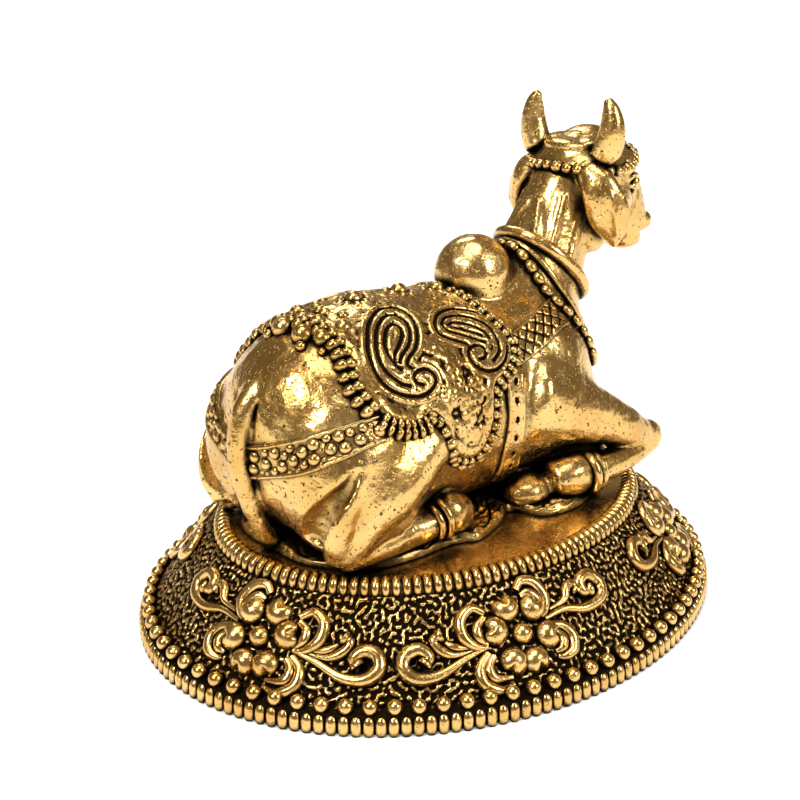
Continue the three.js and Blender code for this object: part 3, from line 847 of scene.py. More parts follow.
def smoothed(points, quads):
    """Moves each vertex towards the middle of its neighbours."""
    starts = np.concatenate([quads[:, k] for k in range(4)])
    ends = np.concatenate([quads[:, (k + 1) % 4] for k in range(4)])
    both_starts, both_ends = np.concatenate([starts, ends]), np.concatenate([ends, starts])
    counts = np.bincount(both_starts, minlength=len(points))
    for _ in range(SMOOTHING_ROUNDS):
        middle = np.stack([
            np.bincount(both_starts, points[both_ends, k], len(points)) / counts for k in range(3)
        ], axis=1)
        points = points + SMOOTHING_SHARE * (middle - points)
    return points


def dented(points, wavelength, depth, seed):
    """How far hand work leaves each point above or below the true form."""
    random = np.random.default_rng(seed)
    waves = unit(random.standard_normal((DENTS, 3))) * 2 * np.pi / wavelength
    waves *= random.uniform(0.6, 1.5, (DENTS, 1))
    phases = random.uniform(0, 2 * np.pi, DENTS)
    return depth * np.cos(points @ waves.T + phases).sum(axis=1) / math.sqrt(DENTS / 2)


def fire(name, clay, metal, cut, dents=DENT_DEPTH):
    """Turns the clay and its mirror image into a piece; cut is a distance that is cut away."""
    x, y, z = clay.axes
    away = cut(x[:, None, None], y[None, :, None], z[None, None, :])
    field = np.maximum(clay.field, away)
    middle = round(-clay.low[0] / clay.cell)
    right = field[:middle + 1]
    whole = np.concatenate([right, right[-2::-1]])
    points, quads = skinned(whole, clay.low, clay.cell)
    points = smoothed(points, quads)
    out = clay.outward(points)
    points = points + out * dented(points, DENT_LENGTH, dents, seed=3)[:, None]
    piece = settle(name, made_mesh(name, points + ON_TABLE, quads, metal))
    return piece


# %% [markdown]
# ## The bull's forms
# Stations give each form's middle line with its half width and half depth, in millimetres above
# the table. The bull lies with its legs folded under, head up and straight ahead. The barrel is
# broad, the haunch is a big smooth ball, the hump stands up on a short foot and the tail falls
# down the rump in one thick cord with a narrow trough beside it. A slit behind the thigh parts
# it from the shank.

# %% Stations and sizes
TRUNK = [
    [0, 25.8, 12.2, 3.6, 4.0], [0, 24.5, 12.3, 6.9, 7.6], [0, 21.7, 12.5, 9.9, 10.6],
    [0, 17, 12.8, 12.0, 12.2], [0, 10, 13, 12.6, 12.9], [0, 3, 12.6, 12.6, 12.4],
    [0, -4, 12.3, 12.3, 12.1], [0, -10, 12, 11.2, 11.7], [0, -16, 11.4, 9.2, 10.8],
    [0, -20, 11, 6.4, 8.4], [0, -22, 10.8, 3.6, 5.2],
]
HAUNCH = ((-6.8, 18.0, 9.6), (7.2, 8.5, 9.6))
SHOULDER = ((-6.6, -10.5, 12.5), (6.2, 7.2, 9.5))
HUMP = ((0, -6.2, 26), (4.5, 4.7, 4.7))
HUMP_FOOT = [[0, -6.4, 25, 3.7], [0, -7.4, 22, 4.4]]
TAIL = [
    [0, 19.8, 22.7, 1.4], [0, 23.6, 20.4, 1.4], [0, 26.4, 17.9, 1.4], [0, 27.7, 15.4, 1.35],
    [0, 28.1, 12.2, 1.3], [0, 27.4, 8.3, 1.25], [0, 25.8, 3.9, 1.2], [0, 24.4, 1, 1.2],
]
NECK = [
    [0, -9.5, 15, 8.6, 9], [0, -13.8, 19.5, 7.2, 8.2], [0, -17.2, 24.5, 5.5, 6.6],
    [0, -19.9, 29.5, 4.5, 5.3], [0, -22.2, 34, 4.3, 4.8],
]
HIND_LEG = [
    [-11.0, 12.2, 12.8, 3.4], [-11.9, 17.2, 9.2, 3.1], [-11.4, 20.9, 5.8, 2.4], [-10.6, 22.4, 3.4, 2.1],
]
SHANK = [
    [-11.9, 22.2, 11.8, 1.1], [-11.8, 23.5, 8.9, 1.5], [-11.2, 24.0, 5.6, 1.7], [-10.6, 23.0, 3.2, 2.0],
]
HIND_CANNON = [
    [-10.5, 22.6, 2.8, 2.0], [-10.9, 19, 2.6, 1.9], [-11.1, 14.8, 2.7, 1.8], [-11.1, 11, 2.9, 1.9],
]
HIND_HOOF = [[-11, 9.6, 3.1, 2.0], [-10.8, 8.2, 3.1, 2.6], [-10.5, 6.2, 2.5, 2.3]]
FORE_LEG = [
    [-8.6, -6.5, 12.6, 6.0], [-10.8, -11.8, 10.6, 4.3], [-12.0, -16.5, 8.6, 3.2],
    [-12.8, -19.9, 6.8, 2.6], [-13.2, -23.9, 4.9, 1.7],
]
KNEE = ((-13.3, -24.0, 4.7), (1.9, 2.1, 2.2))
FORE_CANNON = [[-13.3, -23.7, 4.1, 1.7], [-13.6, -19, 3.3, 1.8], [-13.6, -14.2, 3.0, 1.9]]
FORE_HOOF = [[-13.4, -12.6, 3.1, 2.0], [-12.9, -10.6, 3.2, 2.7], [-12.1, -8.2, 2.9, 2.4]]
CHEST_LUMP = ((-10.2, -5.6, 1.7), (2.9, 3.5, 2.2))
CHEST_SIDE = ((-9.6, -14.4, 3.4), (2.8, 5.0, 3.0))
THIGH_SLIT = [
    [-12.5, 22.6, 12.5, 0.4], [-12.0, 23.9, 10.4, 0.95], [-10.9, 24.8, 8.6, 1.3],
    [-9.4, 25.2, 6.4, 1.55], [-7.9, 25.0, 3.6, 1.6],
]
TROUGH = 0.4
HOOF_BLEND = 0.15
print(len(TRUNK), "stations along the trunk")

# %% [markdown]
# ## Putting the body together
# The trunk, haunches, shoulders and thighs come first, and a copy of that clay is kept, because
# the saddlecloth lies on it and not on the legs, neck and hump that follow.

# %% Model the body
BODY_CELL = 0.31
BODY_BLOCK = ((-16.2, -27, -1.2), (0, 30, 36))


def model_trunk(clay):
    """What lies under the cloth and straps."""
    clay.work(limb(TRUNK))
    clay.work(ball(*HAUNCH), 2.0)
    clay.work(ball(*SHOULDER), 2.4)
    clay.work(limb(HIND_LEG), 1.3)


def model_limbs(clay):
    """Legs, hump, tail and neck."""
    clay.work(limb(SHANK, per_span=5), 0.5)
    clay.work(limb(THIGH_SLIT, per_span=5), 0.25, carve=True)
    clay.work(limb(HUMP_FOOT, (0, -1, 0)), 1.6)
    clay.work(limb(NECK, (0, -1, 0)), 2.6)
    clay.work(ball(*HUMP), 0.7)
    clay.work(limb(FORE_LEG), 1.2)
    clay.work(ball(*KNEE), 0.4)
    clay.work(ball(*CHEST_LUMP), 0.8)
    clay.work(ball(*CHEST_SIDE), 0.8)
    for stations in (HIND_CANNON, FORE_CANNON, HIND_HOOF, FORE_HOOF):
        clay.work(limb(stations), HOOF_BLEND)
    trough = [[x, y + 0.35, z + 0.2, size + TROUGH] for x, y, z, size in TAIL[2:-2]]
    clay.work(limb(trough, (1, 0, 0), 6), 0.1, carve=True)
    clay.work(limb(TAIL, (1, 0, 0), 6))


body_clay = Clay(*BODY_BLOCK, BODY_CELL)
model_trunk(body_clay)
under_cloth = Clay(*BODY_BLOCK, BODY_CELL)
under_cloth.field = body_clay.field.copy()
model_limbs(body_clay)
print("clay of", body_clay.field.shape, "cells")

# %% [markdown]
# ## The head
# The head is small and full of detail, so it is modelled by itself in finer clay, together with
# the top of the neck, and the two pieces meet under the collar. The horns rise from the poll,
# curve in a little at their tips and lean over a low cap, the ears hang like leaves beside the
# cheeks, and a rounded pouch sits under each ear. The eye is a ball in a hollow with lids round
# it, and a furrow parts the cheek from the muzzle.

# %% Stations of the head
HEAD = [
    [0, -24.4, 39.3, 3.6, 3.6], [0, -25.6, 37.2, 4.8, 5.2], [0, -27, 34.8, 5.0, 5.7],
    [0, -29.4, 33.0, 4.3, 5.2], [0, -31.6, 31.2, 3.7, 4.4], [0, -33.3, 29.4, 3.2, 3.4],
]
CROWN = ((0, -24.3, 37.1), (6.0, 5.0, 2.4))
CAP = ((0, -23.8, 38.4), (4.4, 3.8, 2.1))
HORN = [
    [-5.3, -22.6, 38.6, 1.6], [-5.9, -22.8, 39.8, 1.75], [-6.3, -22.8, 41.9, 1.55],
    [-6.1, -22.7, 43.9, 1.1], [-5.6, -22.6, 45.2, 0.55],
]
EAR = [
    [-4.4, -20.9, 36.9, 1.5, 1.2], [-6.3, -20.9, 35.2, 2.25, 1.15], [-7.4, -21.6, 32.2, 2.6, 1.0],
    [-7.5, -22.6, 29.8, 1.8, 0.75], [-7.2, -23.3, 27.9, 0.4, 0.35],
]
EAR_FACING = (-0.75, 0.6, 0)
EAR_RIDGE = [[-8.0, -21.0, 34.6, 0.2], [-8.6, -21.4, 32, 0.28], [-8.2, -22.4, 29.6, 0.2]]
JAW_POUCH = ((-3.2, -22.8, 29.2), (2.4, 3.0, 2.8))
MUZZLE = ((0, -33.5, 28.4), (3.3, 2.8, 3.0))
NOSTRIL_WING = ((-2.0, -35.2, 28.7), (1.35, 1.1, 1.2))
NOSTRIL = ((-2.7, -36.0, 28.7), (0.6, 0.7, 0.45))
CHIN = ((0, -33.5, 26.2), (2.6, 2.3, 1.3))
MOUTH = [
    [-3.8, -31.0, 27.6, 0.42], [-3.2, -33.6, 27.1, 0.46], [-2.0, -35.6, 27.0, 0.46],
    [0, -36.4, 27.0, 0.46],
]
CHEEK_FURROW = [
    [-4.2, -32.0, 33.0, 0.25], [-4.2, -31.5, 31.6, 0.42], [-4.0, -30.9, 29.9, 0.45],
    [-3.9, -30.5, 28.3, 0.35],
]
TEMPLE = ((-3.6, -22.8, 34.6), (2.2, 2.6, 3.0))
CHEEK = ((-3.2, -27.2, 32.2), (2.3, 2.8, 3.0))
BROW = [[-1.2, -30.4, 36.8, 1.0], [-3.2, -30.2, 37.2, 1.0], [-4.9, -28.2, 36.8, 0.9]]
EYE_HOLLOW = ((-4.9, -30.2, 34.5), (1.35, 1.7, 1.4))
EYEBALL = ((-4.2, -30.0, 34.5), (0.9, 0.9, 0.78))
LIDS = [
    [-4.5, -28.4, 34.6, 0.24], [-4.9, -29.2, 35.5, 0.32], [-4.5, -30.4, 35.3, 0.32],
    [-4.0, -31.2, 34.4, 0.24], [-4.4, -30.4, 33.9, 0.28], [-4.8, -29.4, 33.9, 0.28],
    [-4.5, -28.4, 34.6, 0.24],
]
NECK_FOLDS = [
    [[-1.2, -15.0, 34.2, 0.3], [-2.4, -14.2, 30.0, 0.42], [-3.6, -11.9, 26.2, 0.3]],
    [[-3.6, -17.6, 34.4, 0.3], [-4.4, -15.6, 30.2, 0.42], [-5.2, -13.2, 26.4, 0.3]],
    [[-4.6, -20.6, 32.0, 0.3], [-5.0, -18.6, 28.6, 0.42], [-5.9, -16.4, 25.0, 0.3]],
]
CAP_LEAVES = [
    ((0, -22.3, 39.5), (3.6, 2.1, 0.8)), ((-2.5, -24.3, 39.8), (2.1, 2.6, 0.8)),
    ((0, -24.6, 40.3), (1.7, 1.6, 0.7)),
]
print(len(HEAD), "stations along the head")

# %% [markdown]
# ## Putting the head together
# The order matters: the skull and the muzzle come before the mouth and the nostrils that are
# carved in them, and horns and ears come last because they lie on top. Folds of the neck and the
# furrow of the face are pressed on the skin first, so that they have the same depth all along.

# %% Model the head
HEAD_CELL = 0.2
HEAD_BLOCK = ((-11.5, -36.8, 20), (0, -10, 46.4))


def pressed(clay, stations):
    """Stations moved on the skin of a clay."""
    return [[*clay.press(station[:3]), *station[3:]] for station in stations]


def model_head(clay):
    """The upper neck and all of the head."""
    clay.work(limb(NECK, (0, -1, 0)))
    for fold in NECK_FOLDS:
        clay.work(limb(pressed(body_clay, fold)), 0.7)
    clay.work(limb(HEAD, (0, -1, 0), 5), 1.2)
    clay.work(ball(*CROWN), 0.8)
    clay.work(ball(*CHEEK), 1.0)
    clay.work(ball(*MUZZLE), 0.8)
    clay.work(ball(*CHIN), 0.4)
    clay.work(ball(*NOSTRIL_WING), 0.4)
    clay.work(limb(MOUTH), 0.12, carve=True)
    clay.work(limb(pressed(clay, CHEEK_FURROW)), 0.12, carve=True)
    clay.work(ball(*NOSTRIL), 0.15, carve=True)
    clay.work(limb(BROW), 0.7)
    clay.work(ball(*EYE_HOLLOW), 0.35, carve=True)
    clay.work(ball(*EYEBALL), 0.05)
    clay.work(limb(LIDS), 0.12)
    clay.work(ball(*JAW_POUCH), 0.3)
    clay.work(ball(*TEMPLE), 0.8)
    clay.work(ball(*CAP), 0.4)
    for leaf in CAP_LEAVES:
        clay.work(ball(*leaf), 0.08)
    clay.work(limb(HORN, (0, 1, 0), 6), 0.05)
    clay.work(limb(EAR, EAR_FACING, 6), 0.2)
    clay.work(limb(EAR_RIDGE), 0.5)


head_clay = Clay(*HEAD_BLOCK, HEAD_CELL)
model_head(head_clay)
print("head clay of", head_clay.field.shape, "cells")

# %% [markdown]
# ## Rings round the neck
# The collar, the cord and the necklace are all rings that start as an oval round the neck's
# middle line, fall a little towards the throat and are pressed on the skin. The longer ones
# would sink into the chest, so their front is laid afresh: it hangs in a soft curve on the first
# skin that is met from the front.

# %% A ring on the skin of the neck
RING_POINTS = 120
NAPE = RING_POINTS // 4
THROAT = 3 * NAPE
neck_line = spline(NECK, 12)
neck_far = lengths_along(neck_line[:, :3])
neck_length = neck_far[-1]


def neck_at(share):
    """The neck's middle, its direction and its half sizes at a share of its length."""
    behind, here, ahead = (
        np.array([np.interp(place * neck_length, neck_far, column) for column in neck_line.T])
        for place in (share - 0.02, share, share + 0.02)
    )
    return here[:3], unit(ahead[:3] - behind[:3]), here[3:]


FRONT_START = -26.5


def front_skin(x, z):
    """The first skin met from the front, at places across and up."""
    y = np.full(x.shape, FRONT_START)
    for _ in range(60):
        found = body_clay.sample(np.stack([x, y, z], axis=-1))
        y = y + np.clip(found, -0.4, 0.8) * 0.8
    return np.stack([x, y, z], axis=-1)


def neck_ring(share, falls, lift, bib=None):
    """A ring on the neck; falls are its drops from the nape round to the throat, in equal steps.

    A bib is how many points lie afresh over the chest on each side, and how far the middle hangs.
    """
    points = []
    for turn in np.arange(RING_POINTS) * 2 * np.pi / RING_POINTS:
        forward = (1 - math.sin(turn)) / 2
        fall = np.interp(forward, np.linspace(0, 1, len(falls)), falls)
        centre, along, size = neck_at(share - fall / neck_length)
        rearwards = np.cross((1, 0, 0), along) * size[1] * math.sin(turn)
        points.append(centre + axis(1, 0, 0) * size[0] * math.cos(turn) - rearwards)
    points = body_clay.press(np.array(points), 5)
    if bib:
        reach, hang = bib
        start, stop = THROAT - reach, THROAT + reach
        x = np.linspace(points[start][0], points[stop][0], stop - start + 1)
        drop = hang * (1 - (x / x[0]) ** 2)
        points[start:stop + 1] = front_skin(x, (points[start][2] + points[stop][2]) / 2 - drop)
    outs = body_clay.outward(points)
    return points + outs * lift, outs


print("neck of", round(neck_length, 1), "mm")

# %% [markdown]
# ## Firing the two pieces
# The neck runs through both. Each is cut along the collar's plane with a small overlap, so that
# each is a closed piece and the seam is hidden under the collar.

# %% The body and the head
COLLAR_SHARE = 0.655
OVERLAP = 0.3
HEAD_DENTS = 0.02
collar, _ = neck_ring(COLLAR_SHARE, (0, 3.2), 0.3)
collar_middle = (collar[NAPE] + collar[THROAT]) / 2
collar_normal = unit(np.cross(collar[NAPE] - collar[THROAT], (1, 0, 0)))
collar_normal *= math.copysign(1, collar_normal[2])


def beyond_collar(way):
    """Distance past the plane of the collar, towards the head if way is 1."""
    return lambda x, y, z: way * (
        (y - collar_middle[1]) * collar_normal[1] + (z - collar_middle[2]) * collar_normal[2]
    ) - OVERLAP


bull_body = fire("bull_body", body_clay, bull_metal, beyond_collar(1))
fire("bull_head", head_clay, bull_metal, beyond_collar(-1), HEAD_DENTS)
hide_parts("nandi_bull")

# %% [markdown]
# ## Cords and strings
# Scrolls, collars and rings are all round cords laid along a line. Beads and studs are small
# forms set along a line or on chosen spots. Three short geometry trees cover them all. The host
# mesh is nothing but edges or loose points, and carries what differs from point to point as
# attributes: how thick the cord is, how big a stud is, and which way is out of the surface.

# %% A tree for cords
def named(tree, label, kind="FLOAT"):
    """An attribute of the host mesh, as the output of a node."""
    found = node(tree, "GeometryNodeInputNamedAttribute", {"Name": label}, data_type=kind)
    return found.outputs["Attribute"]


cord_tree, given = new_tree("cord", {"Sides": ("Int", 10)})
line = node(cord_tree, "GeometryNodeMeshToCurve", {"Mesh": given["Geometry"]})
section = node(cord_tree, "GeometryNodeCurvePrimitiveCircle", {
    "Resolution": given["Sides"], "Radius": 1.0,
})
cord = node(cord_tree, "GeometryNodeCurveToMesh", {
    "Curve": line.outputs[0], "Profile Curve": section.outputs["Curve"],
    "Scale": named(cord_tree, "thickness"), "Fill Caps": True,
})
end_tree(cord_tree, given, cord.outputs[0])

# %% [markdown]
# ## A tree for strings of beads
# The line is cut into equal steps, and a bead stands on each, turned along the line and then
# about it until it is upright on the skin. Each bead is a little larger or smaller than the
# next, by chance with a fixed seed, as in a casting from a hand-made pattern.

# %% The tree that threads beads
string_tree, given = new_tree("string_of_beads", {
    "Spacing": ("Float", 0.001), "Bead": ("Object", None),
    "Unrest": ("Float", 0.08), "Seed": ("Int", 1),
})
line = node(string_tree, "GeometryNodeMeshToCurve", {"Mesh": given["Geometry"]})
places = node(string_tree, "GeometryNodeResampleCurve", {
    "Curve": line.outputs[0], "Length": given["Spacing"],
}, mode="LENGTH")
ahead = node(string_tree, "FunctionNodeAlignRotationToVector", {
    "Vector": node(string_tree, "GeometryNodeInputTangent").outputs[0],
}, axis="X")
upright = node(string_tree, "FunctionNodeAlignRotationToVector", {
    "Rotation": ahead.outputs[0], "Vector": named(string_tree, "out", "FLOAT_VECTOR"),
}, axis="Z", pivot_axis="X")
bead_form = node(string_tree, "GeometryNodeObjectInfo", {"Object": given["Bead"]})
least = node(string_tree, "ShaderNodeMath", {0: 1.0, 1: given["Unrest"]}, operation="SUBTRACT")
most = node(string_tree, "ShaderNodeMath", {0: 1.0, 1: given["Unrest"]}, operation="ADD")
chance = node(string_tree, "FunctionNodeRandomValue", {
    2: least.outputs[0], 3: most.outputs[0], "Seed": given["Seed"],
}, data_type="FLOAT")
beads = node(string_tree, "GeometryNodeInstanceOnPoints", {
    "Points": places.outputs[0], "Instance": bead_form.outputs["Geometry"],
    "Rotation": upright.outputs[0], "Scale": chance.outputs[1],
})
end_tree(string_tree, given, beads.outputs[0])

# %% [markdown]
# ## A tree for studs
# Petals, balls, bosses and studs sit on loose points. Each point says how big its stud is, which
# way is out and which way the stud's front looks.

# %% The tree that sets studs
stud_tree, given = new_tree("studs", {"Stud": ("Object", None)})
outwards = node(stud_tree, "FunctionNodeAlignRotationToVector", {
    "Vector": named(stud_tree, "out", "FLOAT_VECTOR"),
}, axis="Z")
turned = node(stud_tree, "FunctionNodeAlignRotationToVector", {
    "Rotation": outwards.outputs[0], "Vector": named(stud_tree, "ahead", "FLOAT_VECTOR"),
}, axis="X", pivot_axis="Z")
stud_form = node(stud_tree, "GeometryNodeObjectInfo", {"Object": given["Stud"]})
studs = node(stud_tree, "GeometryNodeInstanceOnPoints", {
    "Points": given["Geometry"], "Instance": stud_form.outputs["Geometry"],
    "Rotation": turned.outputs[0], "Scale": named(stud_tree, "size"),
})
end_tree(stud_tree, given, studs.outputs[0])
print("three trees")

# %% [markdown]
# ## Host meshes
# A host is made of paths of points, with edges between neighbours for cords and strings and with
# none for studs. Three helpers, one for each tree, make the host, grow the piece on it and put
# it in its material slot.

# %% Host meshes and growing on them
def host_of(paths, closed=False, joined=True, **attributes):
    """Edges through each path's points; each attribute has one list of values for each path."""
    mesh = bpy.data.meshes.new("host")
    edges, count = [], 0
    for path in paths:
        steps = np.arange(len(path)) + count
        pairs = np.stack([steps, np.roll(steps, -1)], axis=1)
        if joined:
            edges += (pairs if closed else pairs[:-1]).tolist()
        count += len(path)
    mesh.from_pydata((np.concatenate(paths) * MM).tolist(), edges, [])
    for label, values in attributes.items():
        flat = np.concatenate([
            np.broadcast_to(value, (len(path),) + np.shape(value)[1:])
            for value, path in zip(values, paths)
        ])
        kind, key = ("FLOAT_VECTOR", "vector") if flat.ndim == 2 else ("FLOAT", "value")
        layer = mesh.attributes.new(label, kind, "POINT")
        layer.data.foreach_set(key, flat.astype(np.float32).ravel())
    return mesh


def cords(name, paths, thicknesses, metal, closed=False, sides=10):
    """Round cords along paths; a thickness is one radius or one for each point, in millimetres."""
    host = host_of(paths, closed, thickness=[np.asarray(t) * MM for t in thicknesses])
    piece = grow(name, cord_tree, {"Sides": sides, "Material": metal}, host)
    return piece


def strings(name, paths, outs, spacing, bead_mesh, metal, unrest, seed, closed=False):
    """Beads at equal steps along paths, upright on the directions given as outs."""
    form_object = bpy.data.objects.new(name + "_form", bead_mesh)
    host = host_of(paths, closed, out=outs)
    piece = grow(name, string_tree, {
        "Spacing": spacing * MM, "Bead": form_object, "Unrest": unrest, "Seed": seed, "Material": metal,
    }, host)
    bpy.data.objects.remove(form_object)
    return piece


def studded(name, places, outs, aheads, sizes, stud_mesh, metal):
    """The same stud on each place, with its own size, upright and turned ahead."""
    form_object = bpy.data.objects.new(name + "_form", stud_mesh)
    host = host_of([places], joined=False, out=[outs], ahead=[aheads], size=[sizes])
    piece = grow(name, stud_tree, {"Stud": form_object, "Material": metal}, host)
    bpy.data.objects.remove(form_object)
    return piece


# %% [markdown]
# ## Flowers on the slope
# Six flowers stand round the slope. Each has a ball in the middle and six petals like plump
# hearts, with the notch turned outwards. A petal is a dome whose outline dips at the notch, with
# a crease running in from it. Every second flower is a mirror image, as its scrolls are.

# %% Two domes
FLOWERS = 6
FLOWER_START = 0.115
FLOWER_UP = 0.495 * SLOPE_LENGTH
FLOWER_DRAW = 1.0
PETAL_TURNS = (110, 50, -14, -75, -124, 162)
PETAL_RING = 3.05
PETAL_RADIUS = 1.58
HEART_BALL_RADIUS = 1.18


def dome(name, outline, height, crease, rings, sides, metal):
    """A dome over an outline: a radius and a crease depth for each turn, with its flat side down."""
    turns = np.arange(sides) * 2 * np.pi / sides
    points = []
    for step in range(rings):
        rise = math.pi / 2 * step / rings
        shape = outline(turns) * math.cos(rise)
        x, y = shape * np.cos(turns), shape * np.sin(turns)
        z = height * math.sin(rise) * np.ones(sides) - crease(x, y) * math.sin(rise)
        points.append(np.stack([x, y, z], axis=1))
    skirt = points[0] * (1, 1, 0) - (0, 0, height * 0.5)
    rows = np.array([skirt, *points])
    ends = np.array([[0, 0, height - float(crease(0.0, 0.0))], [0, 0, -height * 0.5]])
    ring = np.arange(sides)
    count = len(rows) * sides
    cap = fan(ring + count - sides, count)
    under = fan(ring, count + 1, back=True)
    faces = [*grid_faces(len(rows), sides, closed=True), *cap, *under]
    return made_mesh(name, np.concatenate([rows.reshape(-1, 3), ends]), faces, metal)


def heart(turns):
    """The radius of a petal's outline."""
    return 1 - 0.34 * np.exp(-(np.angle(np.exp(1j * turns)) / 0.42) ** 2) + 0.08 * np.cos(turns)


def heart_crease(x, y):
    """The depth of a petal's crease."""
    return 0.42 * np.exp(-(y / 0.2) ** 2) * soft_step(x, -0.1, 0.75)


petal_form = dome("petal", heart, 0.86, heart_crease, 9, 36, plinth_metal)
round_form = dome("knob", np.ones_like, 1.0, lambda x, y: 0 * x, 6, 16, plinth_metal)
print("petal of", len(petal_form.polygons), "faces, knob of", len(round_form.polygons))

# %% [markdown]
# ## Setting the petals
# Round each flower's middle, six petals lean outwards at turns that were read one by one, because
# they are not quite even. The slope curves, so the directions round it, up it and out of it are
# worked out afresh for each flower.

# %% Petals and balls
def slope_frame(distance, up):
    """The directions round the slope, up it and out of it."""
    here = on_slope(distance, up)
    along = unit(on_slope(distance + 0.05, up) - here)
    rise = unit(on_slope(distance, up + 0.05) - here)
    return here, along, rise, unit(np.cross(along, rise))


def flower_place(flower):
    """A flower's distance round the slope, and 1 or -1 for the way it is turned."""
    way = 1 if flower % 2 == 0 else -1
    return ROUND * (FLOWER_START + flower / FLOWERS) - way * FLOWER_DRAW, way


petal_places, petal_outs, petal_aheads = [], [], []
ball_places, ball_outs = [], []
for flower in range(FLOWERS):
    middle_distance, way = flower_place(flower)
    here, along, rise, out = slope_frame(middle_distance, FLOWER_UP)
    ball_places.append(here + out * 0.35)
    ball_outs.append(out)
    for turn in np.radians(PETAL_TURNS):
        reach = along * way * math.cos(turn) + rise * math.sin(turn)
        petal_places.append(here + reach * PETAL_RING + out * 0.1)
        petal_outs.append(unit(out + 0.22 * reach))
        petal_aheads.append(reach)
studded("flower_petals", np.array(petal_places), np.array(petal_outs), np.array(petal_aheads),
        np.full(len(petal_places), PETAL_RADIUS), petal_form, plinth_metal)
studded("flower_balls", np.array(ball_places), np.array(ball_outs),
        np.array([axis(0, 0, 1)] * FLOWERS), np.full(FLOWERS, HEART_BALL_RADIUS), round_form,
        plinth_metal)

# %% [markdown]
# ## Scrolls between the flowers
# From each side of a flower an arm swings out and rolls up into a volute, with a smaller frond
# above it, and four pairs of crescents stand round the petals like leaves. They are drawn once,
# in millimetres round and up the slope from the flower's middle, and every second set is
# mirrored. Each line is a cord that swells and tapers, sunk a little in the crumbly ground.

# %% Scrolls as drawn
CRESCENTS = [
    [(-3.9, 2.9), (-5.3, 3.6), (-6.7, 2.6), (-6.6, 0.8), (-5.4, -0.4), (-4.2, -0.7)],
    [(-4.0, 2.4), (-4.95, 1.6), (-4.95, 0.5), (-4.1, -0.4)],
    [(0.6, 4.5), (1.6, 5.3), (3.1, 4.8), (3.9, 3.2), (3.5, 1.7), (2.8, 1.1)],
    [(0.9, 3.75), (2.0, 3.95), (2.95, 2.9), (2.9, 1.7)],
    [(-4.2, -1.3), (-5.3, -2.5), (-5.2, -4.2), (-3.7, -5.2), (-2.2, -4.9)],
    [(-3.7, -1.6), (-4.4, -2.8), (-4.0, -3.9), (-2.2, -4.15)],
    [(3.4, 0.1), (4.9, -0.5), (5.6, -1.8), (5.1, -3.2), (4.0, -3.6), (3.2, -3.3)],
    [(3.6, -0.5), (4.4, -1.6), (4.0, -2.6), (3.1, -2.8)],
]
LONG_ARM = [
    (-4.1, -0.6), (-6.8, -1.5), (-9.5, -2.8), (-11.6, -2.9), (-12.9, -1.8), (-12.6, -0.4),
    (-11.3, 0.0), (-10.4, -0.8), (-10.9, -1.6),
]
LONG_FROND = [(-4.6, -0.5), (-7.6, -0.9), (-9.2, -0.2), (-9.8, 0.8), (-9.1, 1.3)]
LONG_FROND_INNER = [(-5.6, -0.5), (-7.6, -0.1), (-8.6, 0.5)]
SHORT_ARM = [
    (3.2, 0.8), (6.0, 1.1), (8.7, 0.35), (11.3, 0.7), (12.1, 2.2), (10.9, 3.5), (9.4, 3.2),
    (9.4, 2.1), (10.4, 1.9),
]
SHORT_FROND = [(4.2, 1.6), (6.4, 2.0), (7.3, 3.1), (8.3, 3.3), (8.5, 2.3)]
CRESCENT_RADIUS = 0.66
ARM_RADIUS = 0.8
FROND_RADIUS = 0.54
print(len(CRESCENTS), "crescents to a flower")

# %% [markdown]
# ## Laying the scrolls
# Each drawn line is smoothed, gets its radii and is laid on the slope. A crescent's inner line
# is a little thinner than its outer one, and the volutes end in a bulb.

# %% Scroll work
def tapered(count, radius, start, end):
    """Radii along a line that swells from its start and narrows a little to its end."""
    share = np.linspace(0, 1, count)
    swell = start + (1 - start) * soft_step(share, 0, 0.45)
    return radius * swell * (1 - (1 - end) * soft_step(share, 0.6, 1))


scroll_paths, scroll_radii = [], []


def carve_scroll(middle_distance, way, drawn, radius, start, end, bulb=0.0):
    """Lays one drawn line; start and end are its radii there, as shares, and bulb swells its tip."""
    line = spline(drawn, 8)
    radii = tapered(len(line), radius, start, end)
    radii[-3:] += bulb * radius
    distance = middle_distance + way * line[:, 0]
    up = np.clip(FLOWER_UP + line[:, 1], 0.3, SLOPE_LENGTH - 0.25)
    scroll_paths.append(on_slope(distance, up, 0.3 + radii * 0.4))
    scroll_radii.append(radii)


for flower in range(FLOWERS):
    place, way = flower_place(flower)
    for number, crescent in enumerate(CRESCENTS):
        radius = CRESCENT_RADIUS * (0.9 if number % 2 else 1)
        carve_scroll(place, way, crescent, radius, 0.7, 0.45)
    carve_scroll(place, way, LONG_ARM, ARM_RADIUS, 0.35, 0.8, 0.25)
    carve_scroll(place, way, LONG_FROND, FROND_RADIUS, 0.3, 1.0, 0.35)
    carve_scroll(place, way, LONG_FROND_INNER, FROND_RADIUS * 0.8, 0.3, 0.6)
    carve_scroll(place, way, SHORT_ARM, ARM_RADIUS * 0.95, 0.4, 0.8, 0.25)
    carve_scroll(place, way, SHORT_FROND, FROND_RADIUS, 0.4, 0.9, 0.4)
cords("slope_scrolls", scroll_paths, scroll_radii, plinth_metal)

# %% [markdown]
# ## The ground under the bull
# The bull lies on a thin patch of ground with a wavy edge, wrinkled like wet sand. It is a fan of
# rings from the middle to the outline, with its height worked out ring by ring: a rounded lip,
# two cracks that follow the edge at a wandering distance, and low wrinkles between them.

